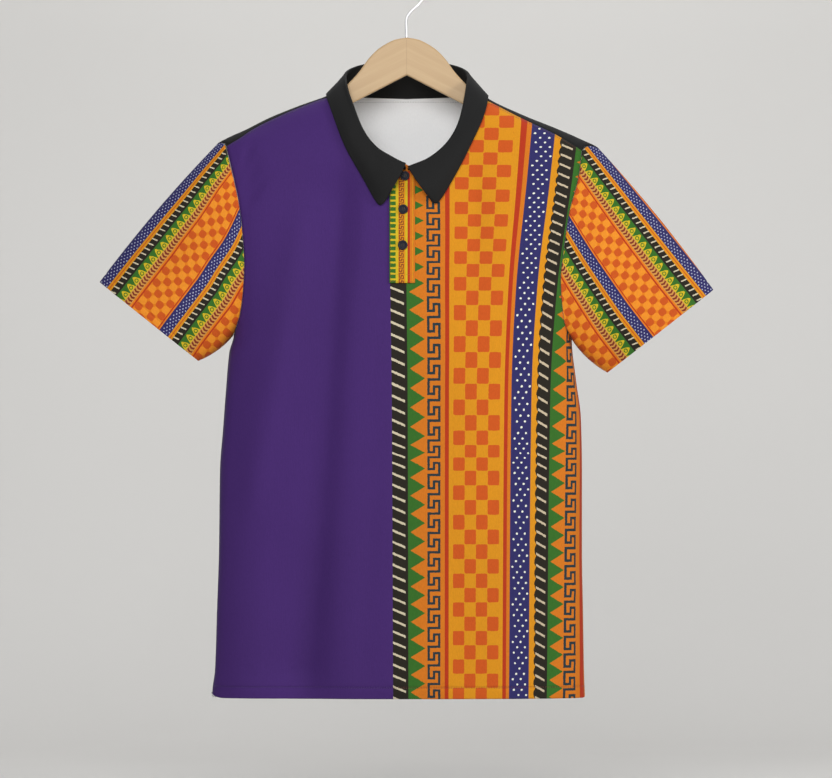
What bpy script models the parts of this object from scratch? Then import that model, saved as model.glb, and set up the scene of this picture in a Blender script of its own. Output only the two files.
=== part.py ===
"""A short-sleeved polo shirt with a kente print, hanging on a flat wooden hanger.

Metres, +Z up. The front faces -Y and +X is on the right of someone who looks at it. The origin is the
inside top of the hanger's hook, where a rail carries it. Each panel is the sheet that a maker would cut,
laid on one hollow form: level sections of the body, whose half widths and depths are the tables below.
"""

import math
from typing import NamedTuple

import bmesh
import bpy
import numpy as np
from mathutils import Vector

LEFT, RIGHT = -1, 1
FRONT, BACK = -1, 1

# Cloth
WALL = 0.0015
STRIP_WALL = 0.0013
SEAM_GAP = 0.0003
EDGE_GAP = 0.0005  # between two edges that are sewn together, measured down the panel
SIDE_GAP = 0.0007  # at the side seams, where the walls lean towards each other
ROUNDNESS = 2.4  # power of the body's level sections: 2 is an ellipse, more is boxier
HEM_Z = -0.8769
HEM_CORNER = {LEFT: 0.006, RIGHT: 0.0015}
HEM_RUN = 2.5

# Hanger
WOOD_THICK = 0.012
WOOD_TOP_Z = -0.0855
WOOD_NOTCH_Z = -0.1306
WOOD_HALF_WIDTH = 0.2100
ARM_HEIGHT = 0.0225
ARM_UNDER_SLOPE = 0.515
UNDER_BEND_X = 0.0912  # where the arm's underside bends to follow the shoulder
WOOD_UNDER_CLOTH = 0.0030  # from the shoulder's outer face down to the wood
WOOD_ROUNDING = 0.0016
WOOD_BEVEL_ANGLE = 60  # degrees: sharper edges than this are rounded
WOOD_FLAT_ANGLE = 0.5  # degrees: flatter joins than this are one face
WIRE_RADIUS = 0.00145
HOOK_RADIUS = 0.0250
STEM_X = -0.0008
STEM_DEPTH = 0.0110
STEM_BARE = 0.0040
STEM_TOP_Z = -0.0720
HOOK_FROM, HOOK_TO = -40, 205  # degrees round the hook's middle
HOLE_CLEARANCE = 0.0003

# Collar
COLLAR_STEP = 0.0006  # the stand's lower edge above the panels' neck edge
FOLD_RADIUS = 0.0025
FALL_CLEARANCE = 0.0036  # the fall's outer face at its free edge, out from the panel
FALL_DROP = 0.0006  # behind the shoulder's ridge the free edge lies at least this far below it
FALL_BOW = 0.0050
STAND_BOW = 0.0006
STAND_HOLD = 0.0020  # the height over which the stand goes on in line with the panel
FALL_FLAT = 0.85  # share of that bow which goes where the fall lies over the shoulder
FALL_FLAT_RUN = 3.2  # over this many rows of the collar's tables on either side of the ridge
LEADING_LIFT = 0.0042  # how much further the collar's front ends stand off, over the top button
LEADING_ROWS = 4  # rows of the collar's tables over which that lift dies away
LEADING_LEAN = 0.4  # share of the lift that the free edge keeps
NECK_MIDDLE = (0.0, 0.004)  # the middle of the neck opening, seen from above
COLLAR_MIDDLE = Vector((0.0, 0.0, -0.19))

# Placket
PLACKET_LEFT, PLACKET_RIGHT = -0.0208, 0.0098
PLACKET_LOW_Z = -0.3807
PLACKET_LAP = 0.0023  # each strip's hold on the panel beside the slit
PLACKET_TOP_GAP = 0.0014  # below the neck edge, where the collar's stand begins
TONGUE_RISE = 0.0095  # the under strip goes on up between the collar's ends
TONGUE_X = -0.0017
TONGUE_HALF = 0.0080
BUTTON_RADIUS = 0.00575
BUTTON_THICK = 0.0024
BUTTON_HOLE_RADIUS = 0.0008
BUTTON_HOLE_SPREAD = 0.0016
BUTTONS = {
    "button_top": (-0.0026, -0.2529),
    "button_middle": (-0.0043, -0.2929),
    "button_low": (-0.0049, -0.3356),
}
# The button's outline, in shares of its radius and of half its thickness
BUTTON_PROFILE = [(0.0, 0.45), (0.55, 0.5), (0.72, 1.0), (0.92, 1.0), (1.0, 0.4), (1.0, -0.5), (0.9, -1.0),
                  (0.0, -1.0)]
BUTTON_TURNS = 28
BUTTON_HOLES = 4

# Sleeves
SLEEVE_START = 0.0009  # the cap's edge beyond the armhole
SLEEVE_TIP = 0.0018  # and this much more at the shoulder's tip, where the two walls lean together
CUFF_HALF_DEPTH = 0.031
SLEEVE_SWELL = 0.0035


class Width(NamedTuple):
    """Half width of the body at a height: the shoulder slope, then the side under the arm."""

    z: float
    x: float


class Depth(NamedTuple):
    """How far the body's section reaches to the front and to the back at a height."""

    z: float
    front: float
    back: float


class Mark(NamedTuple):
    """A place on a panel, seen from the front, on either half."""

    x: float
    z: float


class Fold(NamedTuple):
    """A soft trough, or a ridge if its depths are negative, that runs down a panel through three places."""

    face: int
    top: Mark
    middle: Mark
    low: Mark
    depths: tuple  # at the top and at the low end
    widths: tuple  # to the left of its line and to the right


class Neck(NamedTuple):
    """One section of the collar: where it is sewn, where it folds, and its free edge."""

    seam_x: float
    fold: Mark
    fold_y: float
    edge: Mark


class Sleeve(NamedTuple):
    """The two corners of a sleeve's cuff."""

    outer: Mark
    inner: Mark


BODY_WIDTHS = {
    LEFT: [
        Width(-0.1531, 0.0912), Width(-0.1553, 0.0960), Width(-0.1676, 0.1303), Width(-0.1815, 0.1646),
        Width(-0.1965, 0.1946), Width(-0.2062, 0.2160), Width(-0.2132, 0.2278), Width(-0.2200, 0.2320),
        Width(-0.2350, 0.2325), Width(-0.2559, 0.2280), Width(-0.3279, 0.2190), Width(-0.3999, 0.2112),
        Width(-0.4419, 0.2076), Width(-0.4623, 0.2129), Width(-0.5079, 0.2170), Width(-0.5559, 0.2206),
        Width(-0.6039, 0.2242), Width(-0.6999, 0.2254), Width(-0.7719, 0.2278), Width(-0.8439, 0.2302),
        Width(-0.8691, 0.2333), Width(-0.8769, 0.2335),
    ],
    RIGHT: [
        Width(-0.1531, 0.0912), Width(-0.1574, 0.0962), Width(-0.1797, 0.1426), Width(-0.1936, 0.1774),
        Width(-0.2066, 0.2072), Width(-0.2186, 0.2306), Width(-0.2260, 0.2350), Width(-0.2559, 0.2300),
        Width(-0.3279, 0.2160), Width(-0.3999, 0.2040), Width(-0.4479, 0.1980), Width(-0.4959, 0.2030),
        Width(-0.5439, 0.2090), Width(-0.6039, 0.2102), Width(-0.6999, 0.2102), Width(-0.7719, 0.2114),
        Width(-0.8439, 0.2126), Width(-0.8769, 0.2138),
    ],
}
BODY_DEPTHS = [
    Depth(-0.1527, 0.026, 0.050), Depth(-0.1839, 0.038, 0.054), Depth(-0.2439, 0.052, 0.058),
    Depth(-0.3399, 0.064, 0.062), Depth(-0.4479, 0.069, 0.062), Depth(-0.6039, 0.067, 0.058),
    Depth(-0.7599, 0.065, 0.056), Depth(-0.8775, 0.065, 0.056),
]
# The seam that joins front and back lies just in front of the shoulder's ridge.
SHOULDER_SEAM = {
    LEFT: [Mark(0.2160, -0.2163), Mark(0.2010, -0.2073), Mark(0.1838, -0.1954), Mark(0.1517, -0.1795),
           Mark(0.1292, -0.1697), Mark(0.0960, -0.1580), Mark(0.0894, -0.1569)],
    RIGHT: [Mark(0.2093, -0.2216), Mark(0.1940, -0.2115), Mark(0.1778, -0.2021), Mark(0.1376, -0.1827),
            Mark(0.0962, -0.1613), Mark(0.0894, -0.1581)],
}
FRONT_ARMHOLE = {
    LEFT: [Mark(0.2076, -0.4419), Mark(0.1993, -0.4160), Mark(0.1955, -0.3872), Mark(0.1942, -0.3585),
           Mark(0.1964, -0.3202), Mark(0.2003, -0.2877), Mark(0.2060, -0.2590), Mark(0.2118, -0.2342),
           Mark(0.2160, -0.2163)],
    RIGHT: [Mark(0.1980, -0.4479), Mark(0.1878, -0.4247), Mark(0.1838, -0.3749), Mark(0.1867, -0.3471),
            Mark(0.1937, -0.2974), Mark(0.2050, -0.2535), Mark(0.2093, -0.2216)],
}
BACK_ARMHOLE = {
    LEFT: [Mark(0.2076, -0.4419), Mark(0.2040, -0.4160), Mark(0.2010, -0.3585), Mark(0.2060, -0.2877),
           Mark(0.2180, -0.2342), Mark(0.2278, -0.2132)],
    RIGHT: [Mark(0.1980, -0.4479), Mark(0.1930, -0.4247), Mark(0.1930, -0.3600), Mark(0.2030, -0.2877),
            Mark(0.2190, -0.2400), Mark(0.2306, -0.2186)],
}
FRONT_NECK = [Mark(0.0, -0.2465), Mark(0.0300, -0.2355), Mark(0.0540, -0.2139), Mark(0.0720, -0.1863),
              Mark(0.0840, -0.1659)]
BACK_NECK = [Mark(0.0912, -0.1531), Mark(0.0792, -0.1537), Mark(0.0480, -0.1557), Mark(0.0, -0.1574)]
FOLDS = [
    Fold(FRONT, Mark(-0.0800, -0.2200), Mark(-0.0972, -0.5079), Mark(-0.1240, -0.8900),
         (0.0085, 0.0095), (0.075, 0.021)),
    Fold(FRONT, Mark(-0.1190, -0.2700), Mark(-0.1560, -0.4900), Mark(-0.1930, -0.6800),
         (-0.0040, -0.0035), (0.020, 0.018)),
    Fold(FRONT, Mark(-0.1150, -0.6600), Mark(-0.1300, -0.7900), Mark(-0.1400, -0.9500),
         (0.0020, 0.0075), (0.040, 0.050)),
    Fold(FRONT, Mark(-0.1780, -0.2220), Mark(-0.1850, -0.2450), Mark(-0.1940, -0.2950),
         (0.0020, 0.0020), (0.010, 0.010)),
    Fold(FRONT, Mark(0.0860, -0.2400), Mark(0.0830, -0.3300), Mark(0.0800, -0.4400),
         (0.0030, 0.0020), (0.016, 0.020)),
    Fold(FRONT, Mark(0.1600, -0.5600), Mark(0.1560, -0.7200), Mark(0.1500, -0.8900),
         (0.0010, 0.0030), (0.022, 0.022)),
    Fold(BACK, Mark(-0.0900, -0.2600), Mark(-0.0820, -0.5200), Mark(-0.1050, -0.8900),
         (0.0030, 0.0050), (0.022, 0.022)),
    Fold(BACK, Mark(0.0850, -0.2700), Mark(0.0920, -0.5000), Mark(0.0780, -0.8900),
         (0.0030, 0.0055), (0.024, 0.024)),
    Fold(BACK, Mark(-0.0100, -0.3400), Mark(-0.0060, -0.5600), Mark(0.0040, -0.8900),
         (-0.0015, -0.0030), (0.024, 0.024)),
    Fold(BACK, Mark(0.1620, -0.4300), Mark(0.1660, -0.6000), Mark(0.1700, -0.7600),
         (0.0025, 0.0025), (0.018, 0.018)),
]
FOLD_FADE = 0.060  # a fold rises and dies away over this height
SIDE_FADE = 0.06  # and it fades out over this share of the half width at the side seam
# From the collar's front end round to the middle of the back.
COLLAR_FRONT = {
    LEFT: [
        Neck(0.0016, Mark(0.0008, -0.2372), -0.0585, Mark(0.0256, -0.2838)),
        Neck(0.0095, Mark(0.0100, -0.2333), -0.0590, Mark(0.0288, -0.2871)),
        Neck(0.0190, Mark(0.0210, -0.2270), -0.0580, Mark(0.0322, -0.2886)),
        Neck(0.0300, Mark(0.0326, -0.2203), -0.0555, Mark(0.0374, -0.2836)),
        Neck(0.0440, Mark(0.0445, -0.2080), -0.0520, Mark(0.0504, -0.2597)),
        Neck(0.0560, Mark(0.0530, -0.1945), -0.0480, Mark(0.0640, -0.2365)),
        Neck(0.0670, Mark(0.0600, -0.1780), -0.0430, Mark(0.0744, -0.2173)),
        Neck(0.0770, Mark(0.0655, -0.1635), -0.0360, Mark(0.0830, -0.1955)),
        Neck(0.0840, Mark(0.0705, -0.1500), -0.0265, Mark(0.0898, -0.1760)),
        Neck(0.0885, Mark(0.0732, -0.1400), -0.0170, Mark(0.0942, -0.1640)),
    ],
    RIGHT: [
        Neck(0.0016, Mark(0.0009, -0.2409), -0.0585, Mark(0.0290, -0.2832)),
        Neck(0.0090, Mark(0.0100, -0.2375), -0.0590, Mark(0.0333, -0.2864)),
        Neck(0.0180, Mark(0.0220, -0.2327), -0.0580, Mark(0.0368, -0.2858)),
        Neck(0.0300, Mark(0.0345, -0.2245), -0.0555, Mark(0.0470, -0.2713)),
        Neck(0.0440, Mark(0.0465, -0.2133), -0.0520, Mark(0.0575, -0.2530)),
        Neck(0.0560, Mark(0.0560, -0.2000), -0.0480, Mark(0.0680, -0.2335)),
        Neck(0.0670, Mark(0.0625, -0.1860), -0.0430, Mark(0.0780, -0.2130)),
        Neck(0.0770, Mark(0.0675, -0.1690), -0.0360, Mark(0.0872, -0.1935)),
        Neck(0.0840, Mark(0.0708, -0.1530), -0.0265, Mark(0.0933, -0.1770)),
        Neck(0.0885, Mark(0.0728, -0.1410), -0.0170, Mark(0.0958, -0.1660)),
    ],
}
COLLAR_BACK = [
    Neck(0.0912, Mark(0.0742, -0.1315), -0.0010, Mark(0.0962, -0.1560)),
    Neck(0.0875, Mark(0.0735, -0.1265), 0.0130, Mark(0.0925, -0.1562)),
    Neck(0.0760, Mark(0.0675, -0.1208), 0.0290, Mark(0.0810, -0.1580)),
    Neck(0.0560, Mark(0.0530, -0.1155), 0.0420, Mark(0.0620, -0.1610)),
    Neck(0.0300, Mark(0.0290, -0.1117), 0.0500, Mark(0.0330, -0.1635)),
    Neck(0.0000, Mark(0.0000, -0.1103), 0.0525, Mark(0.0000, -0.1645)),
]
SLEEVES = {
    LEFT: Sleeve(Mark(0.3686, -0.3787), Mark(0.2501, -0.4733)),
    RIGHT: Sleeve(Mark(0.3678, -0.3879), Mark(0.2405, -0.4874)),
}
# The wood's top edge from the middle out to where the shoulder covers it.
WOOD_TOP = [Mark(0.0, WOOD_TOP_Z), Mark(0.0120, -0.0872), Mark(0.0233, -0.0921), Mark(0.0348, -0.0995),
            Mark(0.0462, -0.1111), Mark(0.0577, -0.1271), Mark(0.0726, -0.1430), Mark(0.0816, -0.1515)]
HOOK_BEND = [Mark(STEM_X, -0.0640), Mark(0.0012, -0.0585), Mark(0.0068, -0.0522), Mark(0.0137, -0.0462)]

# How many rows and columns each panel has, and how its columns draw together
SIDE_ROWS = 13
CHEST_ROWS = 3
YOKE_ROWS = 9
SHOULDER_COLUMNS = 6
NECK_COLUMNS = 6
BACK_NECK_COLUMNS = 7
OVER_ROWS = 3
SLEEVE_ROWS = 8
STRIP_ROWS = 14
STRIP_COLUMNS = 4
COLLAR_STEPS = 2  # sections for each row of the collar's tables
STAND_POINTS = 3
BEND_POINTS = 5
FALL_POINTS = 5
HOOK_STEPS = 26
WOOD_TOP_STEPS = 14
WOOD_ARM_STEPS = 8
WOOD_END_STEPS = 8
STEM_HOLE_SIDES = 16
BUTTON_HOLE_SIDES = 10
HEM_SPREAD = 1.6
NECK_SPREAD = 0.85
BACK_NECK_SPREAD = 2.2
BACK_ARM_SPREAD = 2.0
EDGE_STEP = 0.006  # share of a panel's width or height that its narrow edge step takes

# How places on the form are found
SHOULDER_END_Z = -0.3  # the shoulders end above this height
RIDGE_ROUNDS = 40
OVER_ROUNDS = 6
OVER_REACH = 0.98
SLOPE_STEP = 0.0005
SAME_PLACE = 1e-9

COLOURS = {
    "purple": (0.070, 0.027, 0.150),
    "black": (0.018, 0.018, 0.018),
    "orange": (0.720, 0.190, 0.013),
    "wood": (0.610, 0.410, 0.215),
    "chrome": (0.600, 0.600, 0.610),
    "navy": (0.014, 0.016, 0.030),
}
ROUGHNESS = {"purple": 0.8, "black": 0.8, "orange": 0.8, "wood": 0.5, "chrome": 0.2, "navy": 0.35}


def smooth_through(places, values):
    """A smooth curve through values at places, which never swings past them."""
    places, values = np.array(places, float), np.array(values, float)
    order = np.argsort(places)
    places, values = places[order], values[order]
    step = np.diff(places)
    grade = np.diff(values) / step
    slope = np.zeros_like(values)
    same_way = grade[:-1] * grade[1:] > 0
    both = np.where(same_way, grade[:-1] + grade[1:], 1.0)
    slope[1:-1] = np.where(same_way, 2 * grade[:-1] * grade[1:] / both, 0.0)
    slope[0], slope[-1] = grade[0], grade[-1]

    def at(where):
        where = np.clip(where, places[0], places[-1])
        k = np.clip(np.searchsorted(places, where) - 1, 0, len(step) - 1)
        t = (where - places[k]) / step[k]
        return (
            (1 + 2 * t) * (1 - t) ** 2 * values[k]
            + t * (1 - t) ** 2 * step[k] * slope[k]
            + t * t * (3 - 2 * t) * values[k + 1]
            + t * t * (t - 1) * step[k] * slope[k + 1]
        )

    return at


HALF_WIDTH = {
    side: smooth_through([row.z for row in rows], [row.x for row in rows])
    for side, rows in BODY_WIDTHS.items()
}
DEPTH = {
    FRONT: smooth_through([row.z for row in BODY_DEPTHS], [row.front for row in BODY_DEPTHS]),
    BACK: smooth_through([row.z for row in BODY_DEPTHS], [row.back for row in BODY_DEPTHS]),
}
NECK_HEIGHT = {
    side: smooth_through(
        [mark.x for mark in FRONT_NECK] + [SHOULDER_SEAM[side][-1].x],
        [mark.z for mark in FRONT_NECK] + [SHOULDER_SEAM[side][-1].z],
    )
    for side in (LEFT, RIGHT)
}
BACK_NECK_HEIGHT = smooth_through([mark.x for mark in BACK_NECK], [mark.z for mark in BACK_NECK])


def side_of(x):
    return RIGHT if x >= 0 else LEFT


def ridge_height(side, x):
    """Height of the shoulder's ridge at a distance x from the middle."""
    low = BODY_WIDTHS[side][0].z
    high = max((row.x, row.z) for row in BODY_WIDTHS[side] if row.z > SHOULDER_END_Z)[1]
    for _ in range(RIDGE_ROUNDS):
        middle = (low + high) / 2
        if HALF_WIDTH[side](middle) < x:
            low = middle
        else:
            high = middle
    return (low + high) / 2


def fold_shift(face, x, z):
    """How far the folds of one face push the cloth in at a place."""
    total = 0.0
    edge = 1 - abs(x) / HALF_WIDTH[side_of(x)](z)
    for fold in FOLDS:
        if fold.face != face or not fold.low.z < z < fold.top.z:
            continue
        path = smooth_through(
            [fold.low.z, fold.middle.z, fold.top.z], [fold.low.x, fold.middle.x, fold.top.x]
        )
        share = (fold.top.z - z) / (fold.top.z - fold.low.z)
        depth = fold.depths[0] + (fold.depths[1] - fold.depths[0]) * share
        off = float(x - path(z))
        width = fold.widths[1] if off > 0 else fold.widths[0]
        rise = min(1.0, (fold.top.z - z) / FOLD_FADE, (z - fold.low.z) / FOLD_FADE)
        total += depth * rise * rise * (3 - 2 * rise) * math.exp(-((off / width) ** 2))
    return total * min(1.0, max(0.0, edge / SIDE_FADE))


def on_body(x, z, face):
    """The point of the body's outer face at x and z."""
    reach = min(1.0, abs(x) / HALF_WIDTH[side_of(x)](z))
    deep = DEPTH[face](z) * (1 - reach**ROUNDNESS) ** (1 / ROUNDNESS)
    return Vector((x, face * (deep - fold_shift(face, x, z)), z))


def outward(point):
    """The direction straight out of the body's face at a point on it."""
    side, face = side_of(point.x), BACK if point.y >= 0 else FRONT
    width, depth = float(HALF_WIDTH[side](point.z)), float(DEPTH[face](point.z))
    above, below = point.z + SLOPE_STEP, point.z - SLOPE_STEP
    width_slope = (HALF_WIDTH[side](above) - HALF_WIDTH[side](below)) / (above - below)
    depth_slope = (DEPTH[face](above) - DEPTH[face](below)) / (above - below)
    across, along = abs(point.x) / width, abs(point.y) / depth
    return Vector((
        side * across ** (ROUNDNESS - 1) / width,
        face * along ** (ROUNDNESS - 1) / depth,
        -(across**ROUNDNESS) * width_slope / width - along**ROUNDNESS * depth_slope / depth,
    )).normalized()


def moved_out(point, distance):
    return point + outward(point) * distance


def over_shoulder(side, x, y):
    """The point in front of the shoulder's ridge that lies y forward at x."""
    z = ridge_height(side, x)
    for _ in range(OVER_ROUNDS):
        share = min(OVER_REACH, abs(y) / float(DEPTH[FRONT](z)))
        z = ridge_height(side, x / (1 - share**ROUNDNESS) ** (1 / ROUNDNESS))
    return Vector((side * x, -abs(y), z))


def neck_point(side, x):
    """The point of the panels' neck edge at x, from the middle of the front up to the shoulder's ridge."""
    end, ridge = SHOULDER_SEAM[side][-1], BACK_NECK[0]
    if x <= end.x:
        return on_body(side * x, float(NECK_HEIGHT[side](x)), FRONT)
    forward = on_body(side * end.x, end.z, FRONT).y
    return over_shoulder(side, x, forward * (ridge.x - x) / (ridge.x - end.x))


def resampled(marks, shares):
    """Places at shares of the length of a smooth line through marks."""
    run = np.cumsum([0.0] + [math.dist(a, b) for a, b in zip(marks, marks[1:])])
    curves = [smooth_through(run, [mark[axis] for mark in marks]) for axis in range(len(marks[0]))]
    return [tuple(float(curve(share * run[-1])) for curve in curves) for share in shares]


def shares(count, power=1.0, thin=()):
    """Shares from 0 to 1, closer together near 0 if the power is over 1.

    thin holds "first" or "last" where a narrow step there keeps a seam's edge square to the cloth."""
    steps = [(i / count) ** power for i in range(count + 1)]
    if "first" in thin:
        steps.insert(1, min(EDGE_STEP, steps[1] / 2))
    if "last" in thin:
        steps.insert(-1, max(1 - EDGE_STEP, (1 + steps[-2]) / 2))
    return steps


def lengths(points):
    run = np.cumsum([0.0] + [math.dist(a, b) for a, b in zip(points, points[1:])])
    return run / run[-1]


def filled(outer, inner, low, high):
    """Rows of places that fill a four-sided outline, from its outer and inner sides and its ends."""
    across = (lengths(low) + lengths(high)) / 2
    up = (lengths(outer) + lengths(inner)) / 2
    outer, inner, low, high = (np.array(line) for line in (outer, inner, low, high))
    u, v = across[None, :, None], up[:, None, None]
    corners = (
        (1 - u) * (1 - v) * low[0] + u * (1 - v) * low[-1] + (1 - u) * v * high[0] + u * v * high[-1]
    )
    return (1 - u) * outer[:, None] + u * inner[:, None] + (1 - v) * low[None] + v * high[None] - corners


def material(name):
    """The named plain finish, made once."""
    found = bpy.data.materials.get(name)
    if found:
        return found
    made = bpy.data.materials.new(name)
    made.use_nodes = True
    shader = made.node_tree.nodes["Principled BSDF"]
    shader.inputs["Base Color"].default_value = (*COLOURS[name], 1.0)
    shader.inputs["Roughness"].default_value = ROUGHNESS[name]
    shader.inputs["Metallic"].default_value = 1.0 if name == "chrome" else 0.0
    made.diffuse_color = (*COLOURS[name], 1.0)
    return made


def link(obj, collection, colour=None):
    """Puts an object in one collection, with its material."""
    for other in list(obj.users_collection):
        other.objects.unlink(obj)
    collection.objects.link(obj)
    if colour:
        obj.data.materials.clear()
        obj.data.materials.append(material(colour))
    return obj


def sheet(name, grids, wall, colour, collection, guide=outward):
    """A cloth panel from grids of outer points that share their edges, thickened inwards.

    guide turns a point into the direction that its visible face looks in."""
    mesh = bmesh.new()
    for grid in grids:
        rows = [[mesh.verts.new(point) for point in row] for row in grid]
        for low, high in zip(rows, rows[1:]):
            for i in range(len(low) - 1):
                mesh.faces.new((low[i], low[i + 1], high[i + 1], high[i]))
    bmesh.ops.remove_doubles(mesh, verts=mesh.verts, dist=0.00001)
    bmesh.ops.recalc_face_normals(mesh, faces=mesh.faces)
    if sum(face.normal.dot(guide(face.calc_center_median())) for face in mesh.faces) < 0:
        bmesh.ops.reverse_faces(mesh, faces=mesh.faces)
    data = bpy.data.meshes.new(name)
    mesh.to_mesh(data)
    mesh.free()
    obj = bpy.data.objects.new(name, data)
    link(obj, collection, colour)
    data.shade_smooth()
    solid = obj.modifiers.new("Cloth wall", "SOLIDIFY")
    solid.thickness = wall
    solid.offset = -1
    return obj


def front_outline(side):
    """The four sides of one half of the front: side and armhole, slit edge, hem, shoulder and neck."""
    slit_x = (-PLACKET_LEFT if side == LEFT else PLACKET_RIGHT) - PLACKET_LAP
    slit_z = PLACKET_LOW_Z + PLACKET_LAP
    armpit = FRONT_ARMHOLE[side][0]
    side_line = [
        (float(HALF_WIDTH[side](z)), z)
        for z in (HEM_Z + (armpit.z - HEM_Z) * share for share in shares(SIDE_ROWS))
    ]
    outer = side_line + resampled(FRONT_ARMHOLE[side], shares(CHEST_ROWS + YOKE_ROWS, 1.0, ["last"]))[1:]
    neck_z = float(NECK_HEIGHT[side](slit_x))
    inner = [(slit_x, HEM_Z + (armpit.z - HEM_Z) * share) for share in shares(SIDE_ROWS)]
    inner += [(slit_x, armpit.z + (slit_z - armpit.z) * share) for share in shares(CHEST_ROWS)][1:]
    inner += [(slit_x, slit_z + (neck_z - slit_z) * share) for share in shares(YOKE_ROWS, 1.0, ["last"])][1:]
    neck_end = SHOULDER_SEAM[side][-1].x
    neck = [
        (x, float(NECK_HEIGHT[side](x)))
        for x in (neck_end + (slit_x - neck_end) * share for share in shares(NECK_COLUMNS, NECK_SPREAD))
    ]
    shoulder = resampled(SHOULDER_SEAM[side], shares(SHOULDER_COLUMNS, 1.0, ["first"]))
    high = [(x, z - EDGE_GAP / 2) for x, z in shoulder] + neck[1:]
    outer[-1] = high[0]
    hem_x = outer[0][0]
    columns = SHOULDER_COLUMNS + NECK_COLUMNS
    low = [(hem_x + (slit_x - hem_x) * share, HEM_Z) for share in shares(columns, HEM_SPREAD, ["first"])]
    return outer, inner, low, high


def seam_parted(point, face):
    """A point of a side seam, moved off it by half the gap."""
    if abs(point.y) < SIDE_GAP / 2:
        point = Vector((point.x, face * SIDE_GAP / 2, point.z))
    return point


def hem_rounded(x, z, side):
    """The hem's corner at the side seam is cut a little round."""
    rise = max(0.0, 1 - (HALF_WIDTH[side](HEM_Z) - x) / (HEM_RUN * HEM_CORNER[side]))
    return HEM_Z + HEM_CORNER[side] * rise**3 if z <= HEM_Z + SAME_PLACE else z


def build_front(collection):
    """The front panel in one piece, slit where the placket goes."""
    grids, slit_edges = [], {}
    for side in (LEFT, RIGHT):
        rows = filled(*front_outline(side))
        grid = [
            [seam_parted(on_body(side * x, hem_rounded(x, z, side), FRONT), FRONT) for x, z in row]
            for row in rows
        ]
        slit_edges[side] = [row[-1] for row in grid[: SIDE_ROWS + CHEST_ROWS + 1]]
        grids.append(grid)
    middle = [
        [left, on_body((left.x + right.x) / 2, (left.z + right.z) / 2, FRONT), right]
        for left, right in zip(slit_edges[LEFT], slit_edges[RIGHT])
    ]
    grids.append(middle)
    sheet("front", grids, WALL, "purple", collection)
    return {LEFT: grids[0], RIGHT: grids[1]}


def back_outline():
    """The back from the hem up to the shoulders' ridges and the neck, left to right."""
    outer = {}
    for side in (LEFT, RIGHT):
        armpit = BACK_ARMHOLE[side][0]
        line = [
            (side * float(HALF_WIDTH[side](z)), z)
            for z in (HEM_Z + (armpit.z - HEM_Z) * share for share in shares(SIDE_ROWS))
        ]
        steps = [1 - share for share in shares(CHEST_ROWS + YOKE_ROWS, BACK_ARM_SPREAD)][::-1]
        arm = resampled(BACK_ARMHOLE[side], steps)
        outer[side] = line + [(side * x, z) for x, z in arm[1:]]
    ridge = {}
    for side in (LEFT, RIGHT):
        tip, neck = BACK_ARMHOLE[side][-1].x, BACK_NECK[0].x
        steps = [tip + (neck - tip) * share for share in shares(SHOULDER_COLUMNS, 1.0, ["first"])]
        ridge[side] = [(side * x, ridge_height(side, x)) for x in steps]
    half_neck = resampled(BACK_NECK, shares(BACK_NECK_COLUMNS, BACK_NECK_SPREAD))
    neck_line = [(-x, z) for x, z in half_neck] + [(x, z) for x, z in half_neck[::-1]][1:]
    high = ridge[LEFT] + neck_line[1:-1] + ridge[RIGHT][::-1]
    high[0], high[-1] = outer[LEFT][-1], outer[RIGHT][-1]
    columns = len(high) - 3
    left_x, right_x = outer[LEFT][0][0], outer[RIGHT][0][0]
    middle, half = (left_x + right_x) / 2, (right_x - left_x) / 2
    low = [(middle - half * math.cos(math.pi * i / columns), HEM_Z) for i in range(columns + 1)]
    low.insert(1, ((low[0][0] * 2 + low[1][0]) / 3, HEM_Z))
    low.insert(-1, ((low[-1][0] * 2 + low[-2][0]) / 3, HEM_Z))
    return outer[LEFT], outer[RIGHT], low, high


def build_back(collection):
    """The back panel, which comes over both shoulders to the seams in front of their ridges."""
    rows = filled(*back_outline())
    main = []
    for row in rows:
        main.append([
            seam_parted(on_body(x, hem_rounded(abs(x), z, side_of(x)), BACK), BACK) for x, z in row
        ])
    for k in range(SHOULDER_COLUMNS + 2):
        for i, side in ((k, LEFT), (len(main[-1]) - 1 - k, RIGHT)):
            x = abs(main[-1][i].x)
            main[-1][i] = Vector((side * x, 0.0, ridge_height(side, x)))
    grids = [main]
    for side in (LEFT, RIGHT):
        ridge = main[-1][: SHOULDER_COLUMNS + 2] if side == LEFT else main[-1][: -SHOULDER_COLUMNS - 3 : -1]
        seam = resampled(SHOULDER_SEAM[side], shares(SHOULDER_COLUMNS, 1.0, ["first"]))
        over = [ridge]
        for share in shares(OVER_ROWS, 1.0, ["last"])[1:]:
            line = []
            for point, (x, z) in zip(ridge, seam):
                last = on_body(side * x, z + EDGE_GAP / 2, FRONT)
                there = over_shoulder(side, abs(point.x) + (x - abs(point.x)) * share, last.y * share)
                there.z += (last.z - over_shoulder(side, x, last.y).z) * share**2
                line.append(there)
            over.append(line)
        grids.append(over)
    sheet("back", grids, WALL, "black", collection)
    return grids


def armhole(side, front, back):
    """The closed line of a body's armhole: from the ridge, down the front, and up the back."""
    over = back[1] if side == LEFT else back[2]
    down = [row[0] for row in over][:-1]
    down += [row[0] for row in front[side][: SIDE_ROWS - 1 : -1]]
    column = 0 if side == LEFT else -1
    up = [row[column] for row in back[0][SIDE_ROWS:]]
    return down, up


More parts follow.
